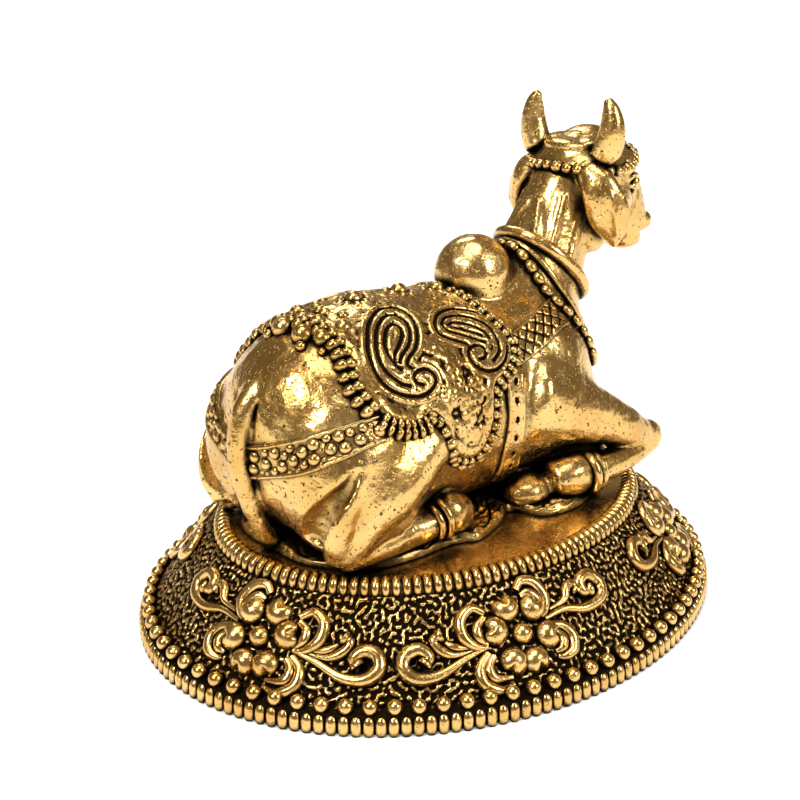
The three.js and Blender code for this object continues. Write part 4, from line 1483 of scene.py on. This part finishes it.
# %% The ground's outline
GROUND_EDGE = [
    (0, 24.6), (-6, 24), (-10.8, 20), (-12.4, 15), (-12.6, 9), (-13.8, 5.7), (-12.4, 1),
    (-10.9, -2.3), (-14.2, -4), (-15.3, -7.5), (-14.8, -11), (-12.2, -16.5), (-7, -21), (0, -22.6),
]
GROUND_THICKNESS = 1.1
GROUND_RINGS = 64
GROUND_STEPS = 640
right_edge = np.array(GROUND_EDGE)
whole_edge = np.concatenate([right_edge, right_edge[-2:0:-1] * (-1, 1), right_edge[:1]])
edge_line = spline(whole_edge, 16)
edge_far = lengths_along(edge_line)
edge_steps = np.arange(GROUND_STEPS) * edge_far[-1] / GROUND_STEPS
edge_points = np.stack([np.interp(edge_steps, edge_far, edge_line[:, k]) for k in range(2)], axis=1)
edge_reach = np.linalg.norm(edge_points, axis=1)
print("ground of", round(edge_far[-1], 1), "mm round")

# %% [markdown]
# ## Lip, cracks and wrinkles
# Every point knows how far it lies from the edge. That distance gives the lip and the cracks,
# and two fields of noise make the cracks wander and the ground wrinkle. The cracks are marked
# as hollow for the dark wash.

# %% The ground's skin
CRACK_HOLLOW = 0.7
shares = 1 - np.linspace(0, 1, GROUND_RINGS) ** 1.7
from_edge = (1 - shares)[:, None] * edge_reach
wander = banded_noise(1, GROUND_STEPS, 1, edge_far[-1] / GROUND_STEPS, 9.0, 0.5, seed=11)
wrinkles = banded_noise(
    GROUND_RINGS, GROUND_STEPS, 0.35, edge_far[-1] / GROUND_STEPS, 2.4, 0.4, seed=12,
)
lip = np.sqrt(np.clip(1 - (1 - np.clip(from_edge / 0.9, 0, 1)) ** 2, 0, 1))
crack = np.exp(-((from_edge - 1.6 - 0.5 * wander) / 0.14) ** 2)
crack += 0.8 * np.exp(-((from_edge - 3.1 - 0.7 * np.roll(wander, 60)) / 0.16) ** 2)
ground_height = GROUND_THICKNESS * lip * (0.93 + 0.06 * wander) + 0.09 * wrinkles * lip - 0.3 * crack
ground_rows = np.concatenate([
    edge_points[None] * shares[:, None, None], np.maximum(ground_height, 0.02)[..., None],
], axis=2)[:-1]
ground_points = np.concatenate([ground_rows.reshape(-1, 3), [[0, 0, GROUND_THICKNESS], [0, 0, -0.1]]])
ring = np.arange(GROUND_STEPS)
last = (len(ground_rows) - 1) * GROUND_STEPS
middle_fan = fan(ring + last, len(ground_points) - 2)
under_fan = fan(ring, len(ground_points) - 1, back=True)
ground_faces = [*grid_faces(len(ground_rows), GROUND_STEPS, closed=True), *middle_fan, *under_fan]
crack_hollow = np.concatenate([CRACK_HOLLOW * np.clip(crack, 0, 1)[:-1].ravel(), [0, 0]])
ground = settle("wrinkled_ground", made_mesh(
    "wrinkled_ground", ground_points + ON_TABLE, ground_faces, bull_metal, crack_hollow,
))

# %% [markdown]
# ## Anklets
# Each foot wears a pair of smooth rings just above its hoof.

# %% Rings round the feet
ANKLETS = [
    ((-11.1, 11.0, 2.95), (0.05, -1, 0.1), 1.95, 0.42),
    ((-11.05, 9.95, 3.05), (0.1, -1, 0.1), 2.2, 0.5),
    ((-13.65, -13.3, 3.1), (0.05, 1, -0.05), 2.05, 0.5),
    ((-13.5, -12.2, 3.1), (0.1, 1, -0.05), 2.3, 0.55),
]
MIRROR = (-1, 1, 1)
ANKLET_POINTS = 40


def ring_round(centre, direction, radius):
    """Points of a circle about a direction."""
    direction = unit(direction)
    side = unit(np.cross(direction, (0, 0, 1)))
    top = np.cross(side, direction)
    turns = np.arange(ANKLET_POINTS)[:, None] * 2 * np.pi / ANKLET_POINTS
    return np.array(centre) + radius * (side * np.cos(turns) + top * np.sin(turns))


def both_sides(paths):
    """The paths and their mirror images."""
    return [*paths, *[path * MIRROR for path in paths]]


anklet_rings = both_sides([ring_round(*measures) for *measures, _ in ANKLETS])
cords("anklets", [ring + ON_TABLE for ring in anklet_rings], [thick for *_, thick in ANKLETS] * 2,
      bull_metal, closed=True, sides=12)

# %% [markdown]
# ## The saddlecloth
# The cloth lies on the skin, so it starts as a net of points that are shot inwards from outside
# until they meet the clay. A place on the flank is given by how far along the trunk it lies and
# by its turn down from the spine, which keeps the net even where the trunk swells.

# %% A net on the skin
def trunk_at(y):
    """The trunk's middle height and its half width and depth, at places along it."""
    rows = np.array(TRUNK)[::-1]
    return [np.interp(y, rows[:, 1], rows[:, k]) for k in (2, 3, 4)]


def on_flank(y, turn):
    """The skin under the cloth at a place along the trunk and a turn down from the spine."""
    y, turn = np.broadcast_arrays(np.asarray(y, float), np.asarray(turn, float))
    middle, wide, deep = trunk_at(y)
    ray = unit(np.stack([-np.sin(turn) * wide, 0 * y, np.cos(turn) * deep], axis=-1))
    start = np.stack([0 * y, y, middle], axis=-1)
    reach = np.full(y.shape, 20.0)
    for _ in range(44):
        found = under_cloth.sample(start + ray * reach[..., None])
        reach = reach - np.clip(found, -0.4, 0.6) * 0.9
    return start + ray * reach[..., None]


def turn_of(points):
    """How far down from the spine points on the right flank lie."""
    middle, wide, deep = trunk_at(points[:, 1])
    return np.arctan2(-points[:, 0] / wide, (points[:, 2] - middle) / deep)


NET_STEP = 0.165
NET_Y = np.arange(-5.2, 21.6, NET_STEP)
NET_TURNS = np.radians(np.arange(-117, 117.1, 0.75))
net_y, net_turn = np.meshgrid(NET_Y, NET_TURNS, indexing="ij")
net = on_flank(net_y, np.abs(net_turn)) * np.where(net_turn[..., None] < 0, MIRROR, (1, 1, 1))
right_net = net * np.where(net[..., :1] > 0, MIRROR, (1, 1, 1))
print("net of", net.shape[:2])


# %% [markdown]
# ## The cloth's edge
# The edge was read from the photograph as points on the right flank, lobe by lobe. Each point of
# the net then learns how far it lies from that line, and on which side of it.

# %% Inside or outside the edge
def gap_to(points, path):
    """Distance from each point to the nearest of a path's segments."""
    best = np.full(points.shape[:-1], 99.0)
    for a, b in zip(path[:-1], path[1:]):
        span = b - a
        offset = points - a
        share = np.clip(offset @ span / (span @ span), 0, 1)
        best = np.minimum(best, np.linalg.norm(offset - share[..., None] * span, axis=-1))
    return best


def within(x, y, outline):
    """Whether points lie inside a closed outline, by counting crossings."""
    inside = np.zeros(np.shape(x), bool)
    for (x1, y1), (x2, y2) in zip(outline, np.roll(outline, -1, axis=0)):
        spans = (y1 > y) != (y2 > y)
        with np.errstate(divide="ignore", invalid="ignore"):
            inside ^= spans & (x < (x2 - x1) * (y - y1) / (y2 - y1) + x1)
    return inside


CLOTH_EDGE = [
    (0, 19.3, 24.6), (-2.6, 19.0, 24.3), (-4.6, 18.9, 23.6), (-6.3, 19.1, 22.5), (-8.3, 19.8, 20.4),
    (-10, 19.5, 18.2), (-11.8, 18.1, 16.4), (-12, 16.2, 15.5), (-12, 13.8, 15.2), (-12, 12.2, 15.7),
    (-12.2, 11.5, 15.0), (-12.5, 10.9, 13.2), (-12.4, 9.9, 11.4), (-12.3, 8.4, 10.0), (-12.1, 6.6, 9.4),
    (-12.2, 5.0, 9.8), (-12.4, 3.8, 11.1), (-12.5, 2.9, 13.0), (-12.4, 2.5, 14.8), (-12.0, 2.0, 16.6),
    (-11.4, 0.4, 17.2), (-10.8, -1.4, 18.2), (-9.9, -2.7, 19.6), (-8.6, -2.7, 21.1), (-6.9, -1.9, 22.6),
    (-4.4, -1.5, 23.9), (0, -1.4, 24.6),
]
edge_drawn = spline(CLOTH_EDGE, 5)
edge_turns = turn_of(edge_drawn)
cloth_edge = on_flank(edge_drawn[:, 1], edge_turns)
outline = np.stack([edge_drawn[:, 1], edge_turns], axis=1)
covered = within(net_y, np.abs(net_turn), np.concatenate([outline, [[-1.4, -0.2], [19.3, -0.2]]]))
edge_gap = gap_to(right_net, cloth_edge) * np.where(covered, 1, -1)
print("cloth covers", round(100 * covered.mean()), "% of the net")

# %% [markdown]
# ## Furrows and blossoms as drawn
# Two curling drops are drawn on each side by dark furrows with a soft cushion between them. The
# furrows are lines of places along the trunk and turns in degrees. Small five-petalled blossoms
# are strewn between the drops.

# %% Lines and blossoms
PAISLEY_LINES = [
    [(9.8, 19.4), (11.6, 16.9), (13.9, 21.7), (15.8, 30.7), (16.9, 40.9), (17.1, 51.8), (16.1, 60.3),
     (13.9, 65.1), (11.9, 65.1), (10.7, 61.7), (10.8, 56.9), (11.9, 54.3), (13, 55.7), (13.1, 59.4),
     (12.4, 61.2)],
    [(9.8, 19.4), (9.3, 26.1), (9.9, 35.8), (11.2, 43.4), (12.7, 47.2), (13.3, 50.3), (12.9, 52.6)],
    [(10.8, 23.7), (12, 22.6), (13.7, 26.5), (15.1, 33.4), (16, 41.7), (16, 50.1), (15, 57.2),
     (14, 59.9)],
    [(10.8, 23.7), (10.4, 28.9), (10.8, 35.3), (11.9, 41.3), (13.3, 44.9), (14.1, 48)],
    [(12, 28), (13.2, 30.3), (14.4, 36.3), (14.8, 42.4), (14.6, 48.3), (14.3, 51.4)],
    [(12, 28), (11.6, 31.8), (12.1, 36.4), (13.2, 40.5), (14.1, 43.6), (14.6, 48.3)],
    [(7.1, 33.9), (5.4, 27.5), (2.8, 24.4), (0.5, 27), (-1.2, 33.2), (-1.9, 41.9), (-1.6, 51.3),
     (-0.1, 59.1), (2, 62), (3.9, 59.9), (4.8, 55.6), (4.6, 50.4), (3.1, 47.8), (2.1, 50.3),
     (2.5, 54.4), (3.5, 55.1)],
    [(7.1, 33.9), (7.4, 39.3), (6.1, 43.2), (4.5, 46.2), (4.1, 48.7)],
    [(6.1, 34.2), (4.8, 30), (2.8, 29.4), (0.9, 32.5), (-0.4, 39.4), (-0.5, 47.1), (0.1, 53.4),
     (1.5, 57.4)],
    [(6.1, 34.2), (5.9, 38.2), (4.3, 41.2), (2.7, 44.4), (1.4, 47.2)],
    [(5.3, 34.7), (4.1, 33.6), (2.2, 36.1), (0.8, 41), (0.5, 45.5)],
    [(5.3, 34.7), (4.5, 36.9), (2.8, 39.8), (1.4, 43.4)],
]
BLOSSOMS = [
    (10.6, 20.2), (7.3, 20.7), (9.2, 17.6), (6.8, 15.5), (5.2, 17.3), (8.1, 19.0), (7.4, 16.9),
    (7.8, 13.2), (5.8, 12.2), (9.6, 13.9), (6.9, 22.4), (9.0, 22.0), (10.7, 16.8), (4.5, 19.6),
]
line_near = np.full(net.shape[:2], 9.0)
for drawn in PAISLEY_LINES:
    line = spline(drawn, 6)
    line_near = np.minimum(line_near, gap_to(right_net, on_flank(line[:, 0], np.radians(line[:, 1]))))
print(len(PAISLEY_LINES), "furrows and", len(BLOSSOMS), "blossoms a side")

# %% [markdown]
# ## The cloth's relief
# The cloth's height is painted on the net in millimetres. Outside its edge the net dives under
# the skin. Then come a low shelf for the beads, a rounded band inside them, the cushions and
# furrows of the drops, and a slightly crumbly field with the blossoms and a few casting pits.

# %% Heights on the net
FIELD_HEIGHT = 0.5
BLOSSOM_PETALS = 5
BLOSSOM_RING = 0.92
BLOSSOM_PETAL = 0.74
BLOSSOM_HEART = 0.55
BLOSSOM_HEIGHT = 0.26
FLANK_RADIUS = 12.4
cloth_height = np.interp(
    edge_gap, [-0.75, -0.35, 0.45, 0.6, 0.8, 1.1, 1.7, 2.1],
    [-0.7, 0.05, 0.1, 0.5, 0.64, 0.7, 0.66, FIELD_HEIGHT],
)
field_crumbs = banded_noise(*net.shape[:2], NET_STEP, NET_STEP, 2.1, 0.45, seed=21)
fine_crumbs = banded_noise(*net.shape[:2], NET_STEP, NET_STEP, 0.6, 0.4, seed=22)
field_share = soft_step(edge_gap, 1.8, 2.2)
blossom_height = np.zeros(net.shape[:2])
blossom_near = np.full(net.shape[:2], 9.0)
random = np.random.default_rng(5)
for y, z in BLOSSOMS:
    middle, _, deep = trunk_at(y)
    centre_turn = math.acos(np.clip((z - middle) / deep, -1, 1))
    start_turn = random.uniform(0, 6.28)
    petals = [(BLOSSOM_RING, BLOSSOM_PETAL)] * BLOSSOM_PETALS + [(0.0, BLOSSOM_HEART)]
    for petal, (reach, radius) in enumerate(petals):
        turn = start_turn + petal * 2 * math.pi / BLOSSOM_PETALS
        down = centre_turn + reach * math.sin(turn) / FLANK_RADIUS
        spot = on_flank(y + reach * math.cos(turn), down)
        near = np.linalg.norm(right_net - spot, axis=-1) / radius
        bulge = BLOSSOM_HEIGHT * np.sqrt(np.clip(1 - near ** 2, 0, 1))
        blossom_height = np.maximum(blossom_height, bulge)
        blossom_near = np.minimum(blossom_near, near)
open_field = field_share * soft_step(line_near, 0.7, 1.1)
on_paisley = (1 - soft_step(line_near, 0.6, 1.0)) * soft_step(edge_gap, 0.9, 1.3)
cushion = 0.74 - 0.14 * np.exp(-(line_near / 0.34) ** 2) - 0.34 * np.exp(-(line_near / 0.16) ** 2)
cloth_height += on_paisley * (cushion - cloth_height)
cloth_height += open_field * (0.08 * soft_step(field_crumbs, -0.8, 0.6) - 0.05 + blossom_height)
cloth_height -= open_field * 0.12 * np.exp(-((blossom_near - 1.15) / 0.2) ** 2)
cloth_height -= soft_step(edge_gap, 0.7, 0.9) * 0.16 * soft_step(fine_crumbs, 1.75, 2.1)
print("cloth up to", round(cloth_height.max(), 2), "mm high")


# %% [markdown]
# ## From net to cloth
# The net is moved out by its heights. Its rim is closed at a point deep inside the body, so the
# piece is a closed one that no view can look behind. What lies lower than its surroundings is
# marked as hollow, and the wash stays there.

# %% The saddlecloth
RELIEF_HOLLOW = 0.9
HOLLOW_ROUNDS = 12
HOLLOW_DEPTH = 0.22


def slopes_of(grid):
    """Directions out of a grid of points that runs along its rows and then its columns."""
    return unit(np.cross(np.gradient(grid, axis=0), np.gradient(grid, axis=1)))


def hollows(height):
    """How far each point of a relief lies below its surroundings, from 0 to 1."""
    blurred = height.copy()
    for _ in range(HOLLOW_ROUNDS):
        padded = np.pad(blurred, 1, mode="edge")
        blurred = (padded[:-2, 1:-1] + padded[2:, 1:-1] + padded[1:-1, :-2] + padded[1:-1, 2:]) / 4
    return np.clip((blurred - height) / HOLLOW_DEPTH, 0, 1)


def laid(grid, out, height, inner_point, flip=False):
    """Points, faces and hollows of a relief on a grid, closed at a point deep inside the body."""
    points = (grid + out * height[..., None]).reshape(-1, 3)
    rows, columns = grid.shape[:2]
    faces = grid_faces(rows, columns, closed=False)
    index = np.arange(rows * columns).reshape(rows, columns)
    rim = np.concatenate([index[0], index[1:, -1], index[-1, -2::-1], index[-2:0:-1, 0]])
    faces = [*faces, *fan(rim, len(points), back=True)]
    if flip:
        faces = [face[::-1] for face in faces]
    hollow = np.concatenate([RELIEF_HOLLOW * hollows(height).ravel(), [0]])
    return np.concatenate([points, [inner_point]]), faces, hollow


net_out = slopes_of(net)
if (net_out * net * (1, 0, 1)).sum() < 0:
    net_out = -net_out
points, faces, hollow = laid(net, net_out, cloth_height, (0, 8, 12), flip=True)
cloth = settle("saddlecloth", made_mesh("saddlecloth", points + ON_TABLE, faces, bull_metal, hollow))

# %% [markdown]
# ## Straps
# Three straps hold the cloth: one round the rump, set with studs between two raised edges, one
# under the belly with small holes, and a broad band over the chest, crossed by a lattice. Each is
# a strip of net between an upper and a lower edge, pressed on the skin, with its own relief.

# %% Strips on the skin
STRIP_STEP = 0.17
STRIP_MARGIN = 0.18
STRAP_SINK = -0.6


def resampled(path, count):
    """The path again, with its points at equal steps."""
    far = lengths_along(path)
    steps = np.linspace(0, far[-1], count)
    return np.stack([np.interp(steps, far, column) for column in path.T], axis=1)


def strip_on(clay, upper, lower, across):
    """A net between two edges, with its place along in millimetres and across from -1 to 1."""
    upper, lower = spline(upper, 8), spline(lower, 8)
    length = lengths_along(upper)[-1]
    count = int(length / STRIP_STEP)
    upper, lower = resampled(upper, count), resampled(lower, count)
    share = np.linspace(-STRIP_MARGIN, 1 + STRIP_MARGIN, across)[None, :, None]
    grid = clay.press(lower[:, None] * (1 - share) + upper[:, None] * share, 6)
    along = np.linspace(0, length, count)[:, None] * np.ones((1, across))
    sideways = (share[..., 0] * 2 - 1) * np.ones((count, 1))
    width = np.linalg.norm(upper - lower, axis=1)[:, None]
    return grid, clay.outward(grid), along, sideways, width


def edged(sideways, edge, height, floor):
    """A strap's profile: raised rounded edges, a lower floor between them, and nothing outside."""
    inset = 1 - np.abs(sideways)
    return np.interp(
        inset, [-0.2, -0.04, 0.0, edge * 0.5, edge, edge * 1.5, 1],
        [STRAP_SINK, STRAP_SINK * 0.6, height * 0.6, height, height * 0.75, floor, floor],
    )


def strap(name, grid, out, height, inner_point):
    """Both sides of a strap as one piece, with its two ends sunk in the skin."""
    height[[0, -1]] = STRAP_SINK
    points, faces, hollow = laid(grid, out, height, inner_point)
    if (slopes_of(grid) * out).sum() > 0:
        faces = [face[::-1] for face in faces]
    count = len(points)
    both = np.concatenate([points, points * MIRROR])
    faces = [*faces, *[face[::-1] + count for face in faces]]
    piece = settle(name, made_mesh(name, both + ON_TABLE, faces, bull_metal, np.tile(hollow, 2)))


# %% [markdown]
# ## The three straps
# Each strap is given by a few points of its upper and its lower edge. The rump strap lies under
# the tail and keeps a flat floor for the studs. The girth's holes and the lattice of the chest
# band are pressed into their floors.

# %% Rump strap, girth and chest band
HOLE_PITCH = 2.1
HOLE_HALF_LENGTH = 0.34
HOLE_HALF_WIDTH = 0.24
HOLE_DEPTH = 0.5
LATTICE_PITCH = 1.8
LATTICE_GROOVE = 0.14
LATTICE_DEPTH = 0.3
RUMP_UPPER = [
    (-11.4, 18.6, 17.4), (-11.1, 20.4, 17.4), (-10.1, 22.8, 16.9), (-6.9, 25.5, 15.4),
    (-2.3, 27.0, 13.9), (0.2, 27.2, 13.5),
]
RUMP_LOWER = [
    (-12.3, 18.6, 14.9), (-12.3, 20.6, 14.7), (-11.2, 23.6, 13.7), (-8, 26.2, 11.8),
    (-2.2, 27.2, 10.0), (0.2, 27.3, 9.6),
]
GIRTH_REAR = [
    (-11.2, -0.3, 17.9), (-12, 0.5, 16), (-12.5, 0.6, 12.5), (-11.8, 0.6, 8.3), (-9.1, -0.4, 4.1),
]
GIRTH_FRONT = [
    (-11.3, -2.8, 17.3), (-12, -2.3, 15.7), (-12.4, -2.2, 12.5), (-11.7, -2.6, 8.4), (-7.8, -5.2, 3),
]
CHEST_UPPER = [
    (-9.2, -2.6, 21.2), (-8.7, -5.0, 21.7), (-8.0, -8.0, 22.3), (-7.2, -10.6, 23.0),
    (-6.6, -12.4, 23.2),
]
CHEST_LOWER = [
    (-11.0, -2.4, 17.9), (-10.8, -5.0, 18.5), (-10.4, -8.0, 19.4), (-9.6, -10.6, 20.0),
    (-9.0, -12.6, 20.0),
]

rump, rump_out, _, rump_across, rump_width = strip_on(under_cloth, RUMP_UPPER, RUMP_LOWER, 25)
strap("rump_strap", rump, rump_out, edged(rump_across, 0.2, 0.5, 0.14), (-3, 14, 12))

girth, girth_out, along, across, width = strip_on(body_clay, GIRTH_REAR, GIRTH_FRONT, 23)
girth_height = edged(across, 0.3, 0.5, 0.4)
hole_step = np.abs((along / HOLE_PITCH) % 1 - 0.5) * HOLE_PITCH
hole_reach = np.hypot(hole_step / HOLE_HALF_LENGTH, across * width / 2 / HOLE_HALF_WIDTH)
girth_height -= HOLE_DEPTH * soft_step(-hole_reach, -1.3, -0.7)
strap("girth_strap", girth, girth_out, girth_height, (-3, -1, 10))

chest, chest_out, along, across, width = strip_on(body_clay, CHEST_UPPER, CHEST_LOWER, 29)
chest_height = edged(across, 0.14, 0.46, 0.34)
between_edges = soft_step(1 - np.abs(across), 0.1, 0.2)
for lean in (-1, 1):
    crossing = (along + lean * across * width / 2) / LATTICE_PITCH
    groove = np.exp(-(np.abs(crossing % 1 - 0.5) * LATTICE_PITCH / LATTICE_GROOVE) ** 2)
    chest_height -= LATTICE_DEPTH * groove * between_edges
strap("chest_band", chest, chest_out, chest_height, (-3, -7, 14))

# %% [markdown]
# ## Studs on the rump strap
# Balls of three sizes are packed on the strap like fish roe. Places are tried at random, the
# large balls first, and a ball stays where it hardly overlaps those that are there already.

# %% Packing the studs
STUD_TRIES = ((0.76, 600), (0.6, 1400), (0.42, 2400))
STUD_PACKING = 0.86
STUD_SINK = 0.1
STUD_MARGIN = 0.2
random = np.random.default_rng(8)
stud_places, stud_outs, stud_sizes = [], [], []
for radius, tries in STUD_TRIES:
    for _ in range(tries):
        row = random.integers(2, len(rump) - 2)
        room = 1 - 2 * (radius + STUD_MARGIN) / rump_width[row, 0]
        if room <= 0:
            continue
        share = (random.uniform(-room, room) / (1 + 2 * STRIP_MARGIN) + 1) / 2
        column = int(round(share * (rump.shape[1] - 1)))
        spot = rump[row, column]
        if all(np.linalg.norm(spot - other) > STUD_PACKING * (radius + size)
               for other, size in zip(stud_places, stud_sizes)):
            stud_places.append(spot)
            stud_outs.append(rump_out[row, column])
            stud_sizes.append(radius)
stud_outs = np.array(stud_outs)
stud_places = np.array(stud_places) - stud_outs * STUD_SINK
stud_count = 2 * len(stud_places)
studded("rump_studs", np.concatenate(both_sides([stud_places])) + ON_TABLE,
        np.concatenate(both_sides([stud_outs])), np.array([axis(0, 0, 1)] * stud_count),
        np.tile(stud_sizes, 2), round_form, bull_metal)

# %% [markdown]
# ## Beads along the cloth
# The cloth's edge is a string of ribbed barrels laid crosswise, wide and loose over the rump,
# close as a wound spring in the notch, and rounder under the belly. One bead form with a waist
# serves for all, stretched differently for each stretch of the edge.

# %% Border beads
BORDER_LIFT = 0.18
BORDER_STRETCHES = [
    ("rump_border", 0.0, 13.9, 1.3, (0.7, 1.3, 0.95)),
    ("notch_border", 14.8, 20.9, 0.86, (0.46, 1.25, 0.9)),
    ("belly_border", 21.7, 40.0, 1.25, (0.68, 0.86, 0.85)),
    ("shoulder_border", 40.9, 60.0, 1.2, (0.64, 0.92, 0.82)),
]


def barrel(name, half_length, half_width, height):
    """A bead that lies across the string, with a waist and soft ends."""
    spots = np.array([-1, -0.88, -0.62, -0.3, -0.12, 0, 0.12, 0.3, 0.62, 0.88, 1])
    swell = np.clip(1 - np.abs(spots) ** 2.6, 0.02, 1) ** 0.5
    swell = swell * (1 - 0.3 * np.exp(-(spots / 0.13) ** 2))
    return ringed_form(
        name, [axis(0, spot * half_width, 0) for spot in spots],
        [(half_length * size, height * size, axis(1, 0, 0), axis(0, 0, 1)) for size in swell],
        10, bull_metal,
    )


edge_out = under_cloth.outward(cloth_edge)
edge_far = lengths_along(cloth_edge)
for name, start, end, spacing, sizes in BORDER_STRETCHES:
    kept = (edge_far >= start) & (edge_far <= end)
    paths = both_sides([cloth_edge[kept] + edge_out[kept] * BORDER_LIFT])
    outs = both_sides([edge_out[kept]])
    bead = barrel(name + "_bead", *sizes)
    strings(name, [path + ON_TABLE for path in paths], outs, spacing, bead,
            bull_metal, unrest=0.07, seed=len(name))
print("edge of", round(edge_far[-1], 1), "mm a side")

# %% [markdown]
# ## Round the neck and the head
# A smooth collar lies round the neck with a thin cord below it. A long string of oval beads
# hangs from the nape down on the chest, and a shorter one circles the poll under the horns.
# All but the last are rings on the neck, as worked out above.

# %% Collar, cord and necklace
COLLAR_RADIUS = 0.8
CORD_RADIUS = 0.42
NECKLACE_SPACING = 1.8


def long_bead(name, half_length, radius):
    """A bead that is strung along its length."""
    turns = np.linspace(0.1, np.pi - 0.1, 8)
    return ringed_form(
        name, [axis(-half_length * math.cos(turn), 0, 0) for turn in turns],
        [(radius * math.sin(turn), radius * math.sin(turn), axis(0, 1, 0), axis(0, 0, 1))
         for turn in turns],
        10, bull_metal,
    )


cords("collar", [collar + ON_TABLE], [COLLAR_RADIUS], bull_metal,
      closed=True, sides=14)
thin_cord, _ = neck_ring(0.6, (0, 2.2, 4.2, 6.2, 8.2), 0.2, bib=(12, 1.2))
cords("neck_cord", [thin_cord + ON_TABLE], [CORD_RADIUS], bull_metal, closed=True)
necklace, necklace_out = neck_ring(0.56, (0, 3.9, 7.3, 9.6, 10.8), 0.42, bib=(20, 3.2))
strings("necklace", [necklace + ON_TABLE], [necklace_out], NECKLACE_SPACING,
        long_bead("oval_bead", 0.92, 0.68), bull_metal,
        unrest=0.1, seed=4, closed=True)

# %% [markdown]
# ## The band round the poll
# The band lies on the skull under the horns and ears. A coarse block of clay with only the neck,
# the skull and the crown in it gives it a skin to lie on that horns and ears don't disturb.

# %% Head band
BAND_POINTS = 80
BAND_LIFT = 0.5
BAND_SPACING = 1.34
SKULL_CELL = 0.3
skull = Clay(*HEAD_BLOCK, SKULL_CELL)
skull.work(limb(NECK, (0, -1, 0)))
skull.work(limb(HEAD, (0, -1, 0), 5), 1.2)
skull.work(ball(*CROWN), 0.8)
band_turns = np.arange(BAND_POINTS) * 2 * np.pi / BAND_POINTS
head_band = skull.press(np.stack([
    6.0 * np.cos(band_turns), -24.3 + 5.0 * np.sin(band_turns), 36.9 + 0.3 * np.sin(band_turns),
], axis=1), 5)
band_out = skull.outward(head_band)
strings("head_band", [head_band + band_out * BAND_LIFT + ON_TABLE], [band_out], BAND_SPACING,
        long_bead("small_bead", 0.7, 0.68), bull_metal,
        unrest=0.1, seed=6, closed=True)

# %% [markdown]
# ## Rosettes along the spine
# Three bossed rosettes run down the middle of the cloth, each a ball with eight small ones round
# it, and a cluster of plump balls of many sizes sits at the root of the tail.

# %% Bosses and balls
SPINE = (-0.2, 5.6, 12.2)
ROSETTE_PETALS = 8
ROSETTE_RADIUS = 1.55
ROSETTE_SIZES = (1.05, 0.62)
ROSETTE_LIFTS = ((0, 0, 0.35), (0, 0, 0.15))
TAIL_BALL_LIFT = 0.2
BACK_RADIUS = 12.6
TAIL_ROOT = [
    ((-1.6, 20.6), 1.25), ((-3.5, 19.6), 1.05), ((-3.8, 16.9), 1.0), ((-1.3, 18.2), 1.0),
    ((-2.6, 21.7), 0.6), ((-4.6, 20.6), 0.45), ((-5.0, 19.5), 0.4), ((-2.5, 18.9), 0.5),
    ((-0.4, 16.6), 0.8), ((-2.2, 15.6), 0.7),
]
boss_places, boss_sizes = [], []
for y in SPINE:
    boss_places.append(on_flank(y, 0.0) + ROSETTE_LIFTS[0])
    boss_sizes.append(ROSETTE_SIZES[0])
    for petal in range(ROSETTE_PETALS):
        turn = 2 * math.pi * (petal + 0.5) / ROSETTE_PETALS
        place = on_flank(
            y + ROSETTE_RADIUS * math.cos(turn),
            abs(math.sin(turn)) * ROSETTE_RADIUS / BACK_RADIUS,
        )
        side = math.copysign(1, -math.sin(turn))
        boss_places.append(place * (side, 1, 1) + ROSETTE_LIFTS[1])
        boss_sizes.append(ROSETTE_SIZES[1])
for (x, y), size in TAIL_ROOT:
    spot = on_flank(y, math.asin(min(-x / trunk_at(y)[1], 1)))
    for side in (1, -1):
        boss_places.append(spot * (side, 1, 1) + (0, 0, TAIL_BALL_LIFT))
        boss_sizes.append(size)
boss_places = np.array(boss_places)
print(len(boss_places), "bosses and balls")
studded("bosses", boss_places + ON_TABLE, under_cloth.outward(boss_places),
        np.array([axis(0, 1, 0)] * len(boss_places)), np.array(boss_sizes), round_form,
        bull_metal)
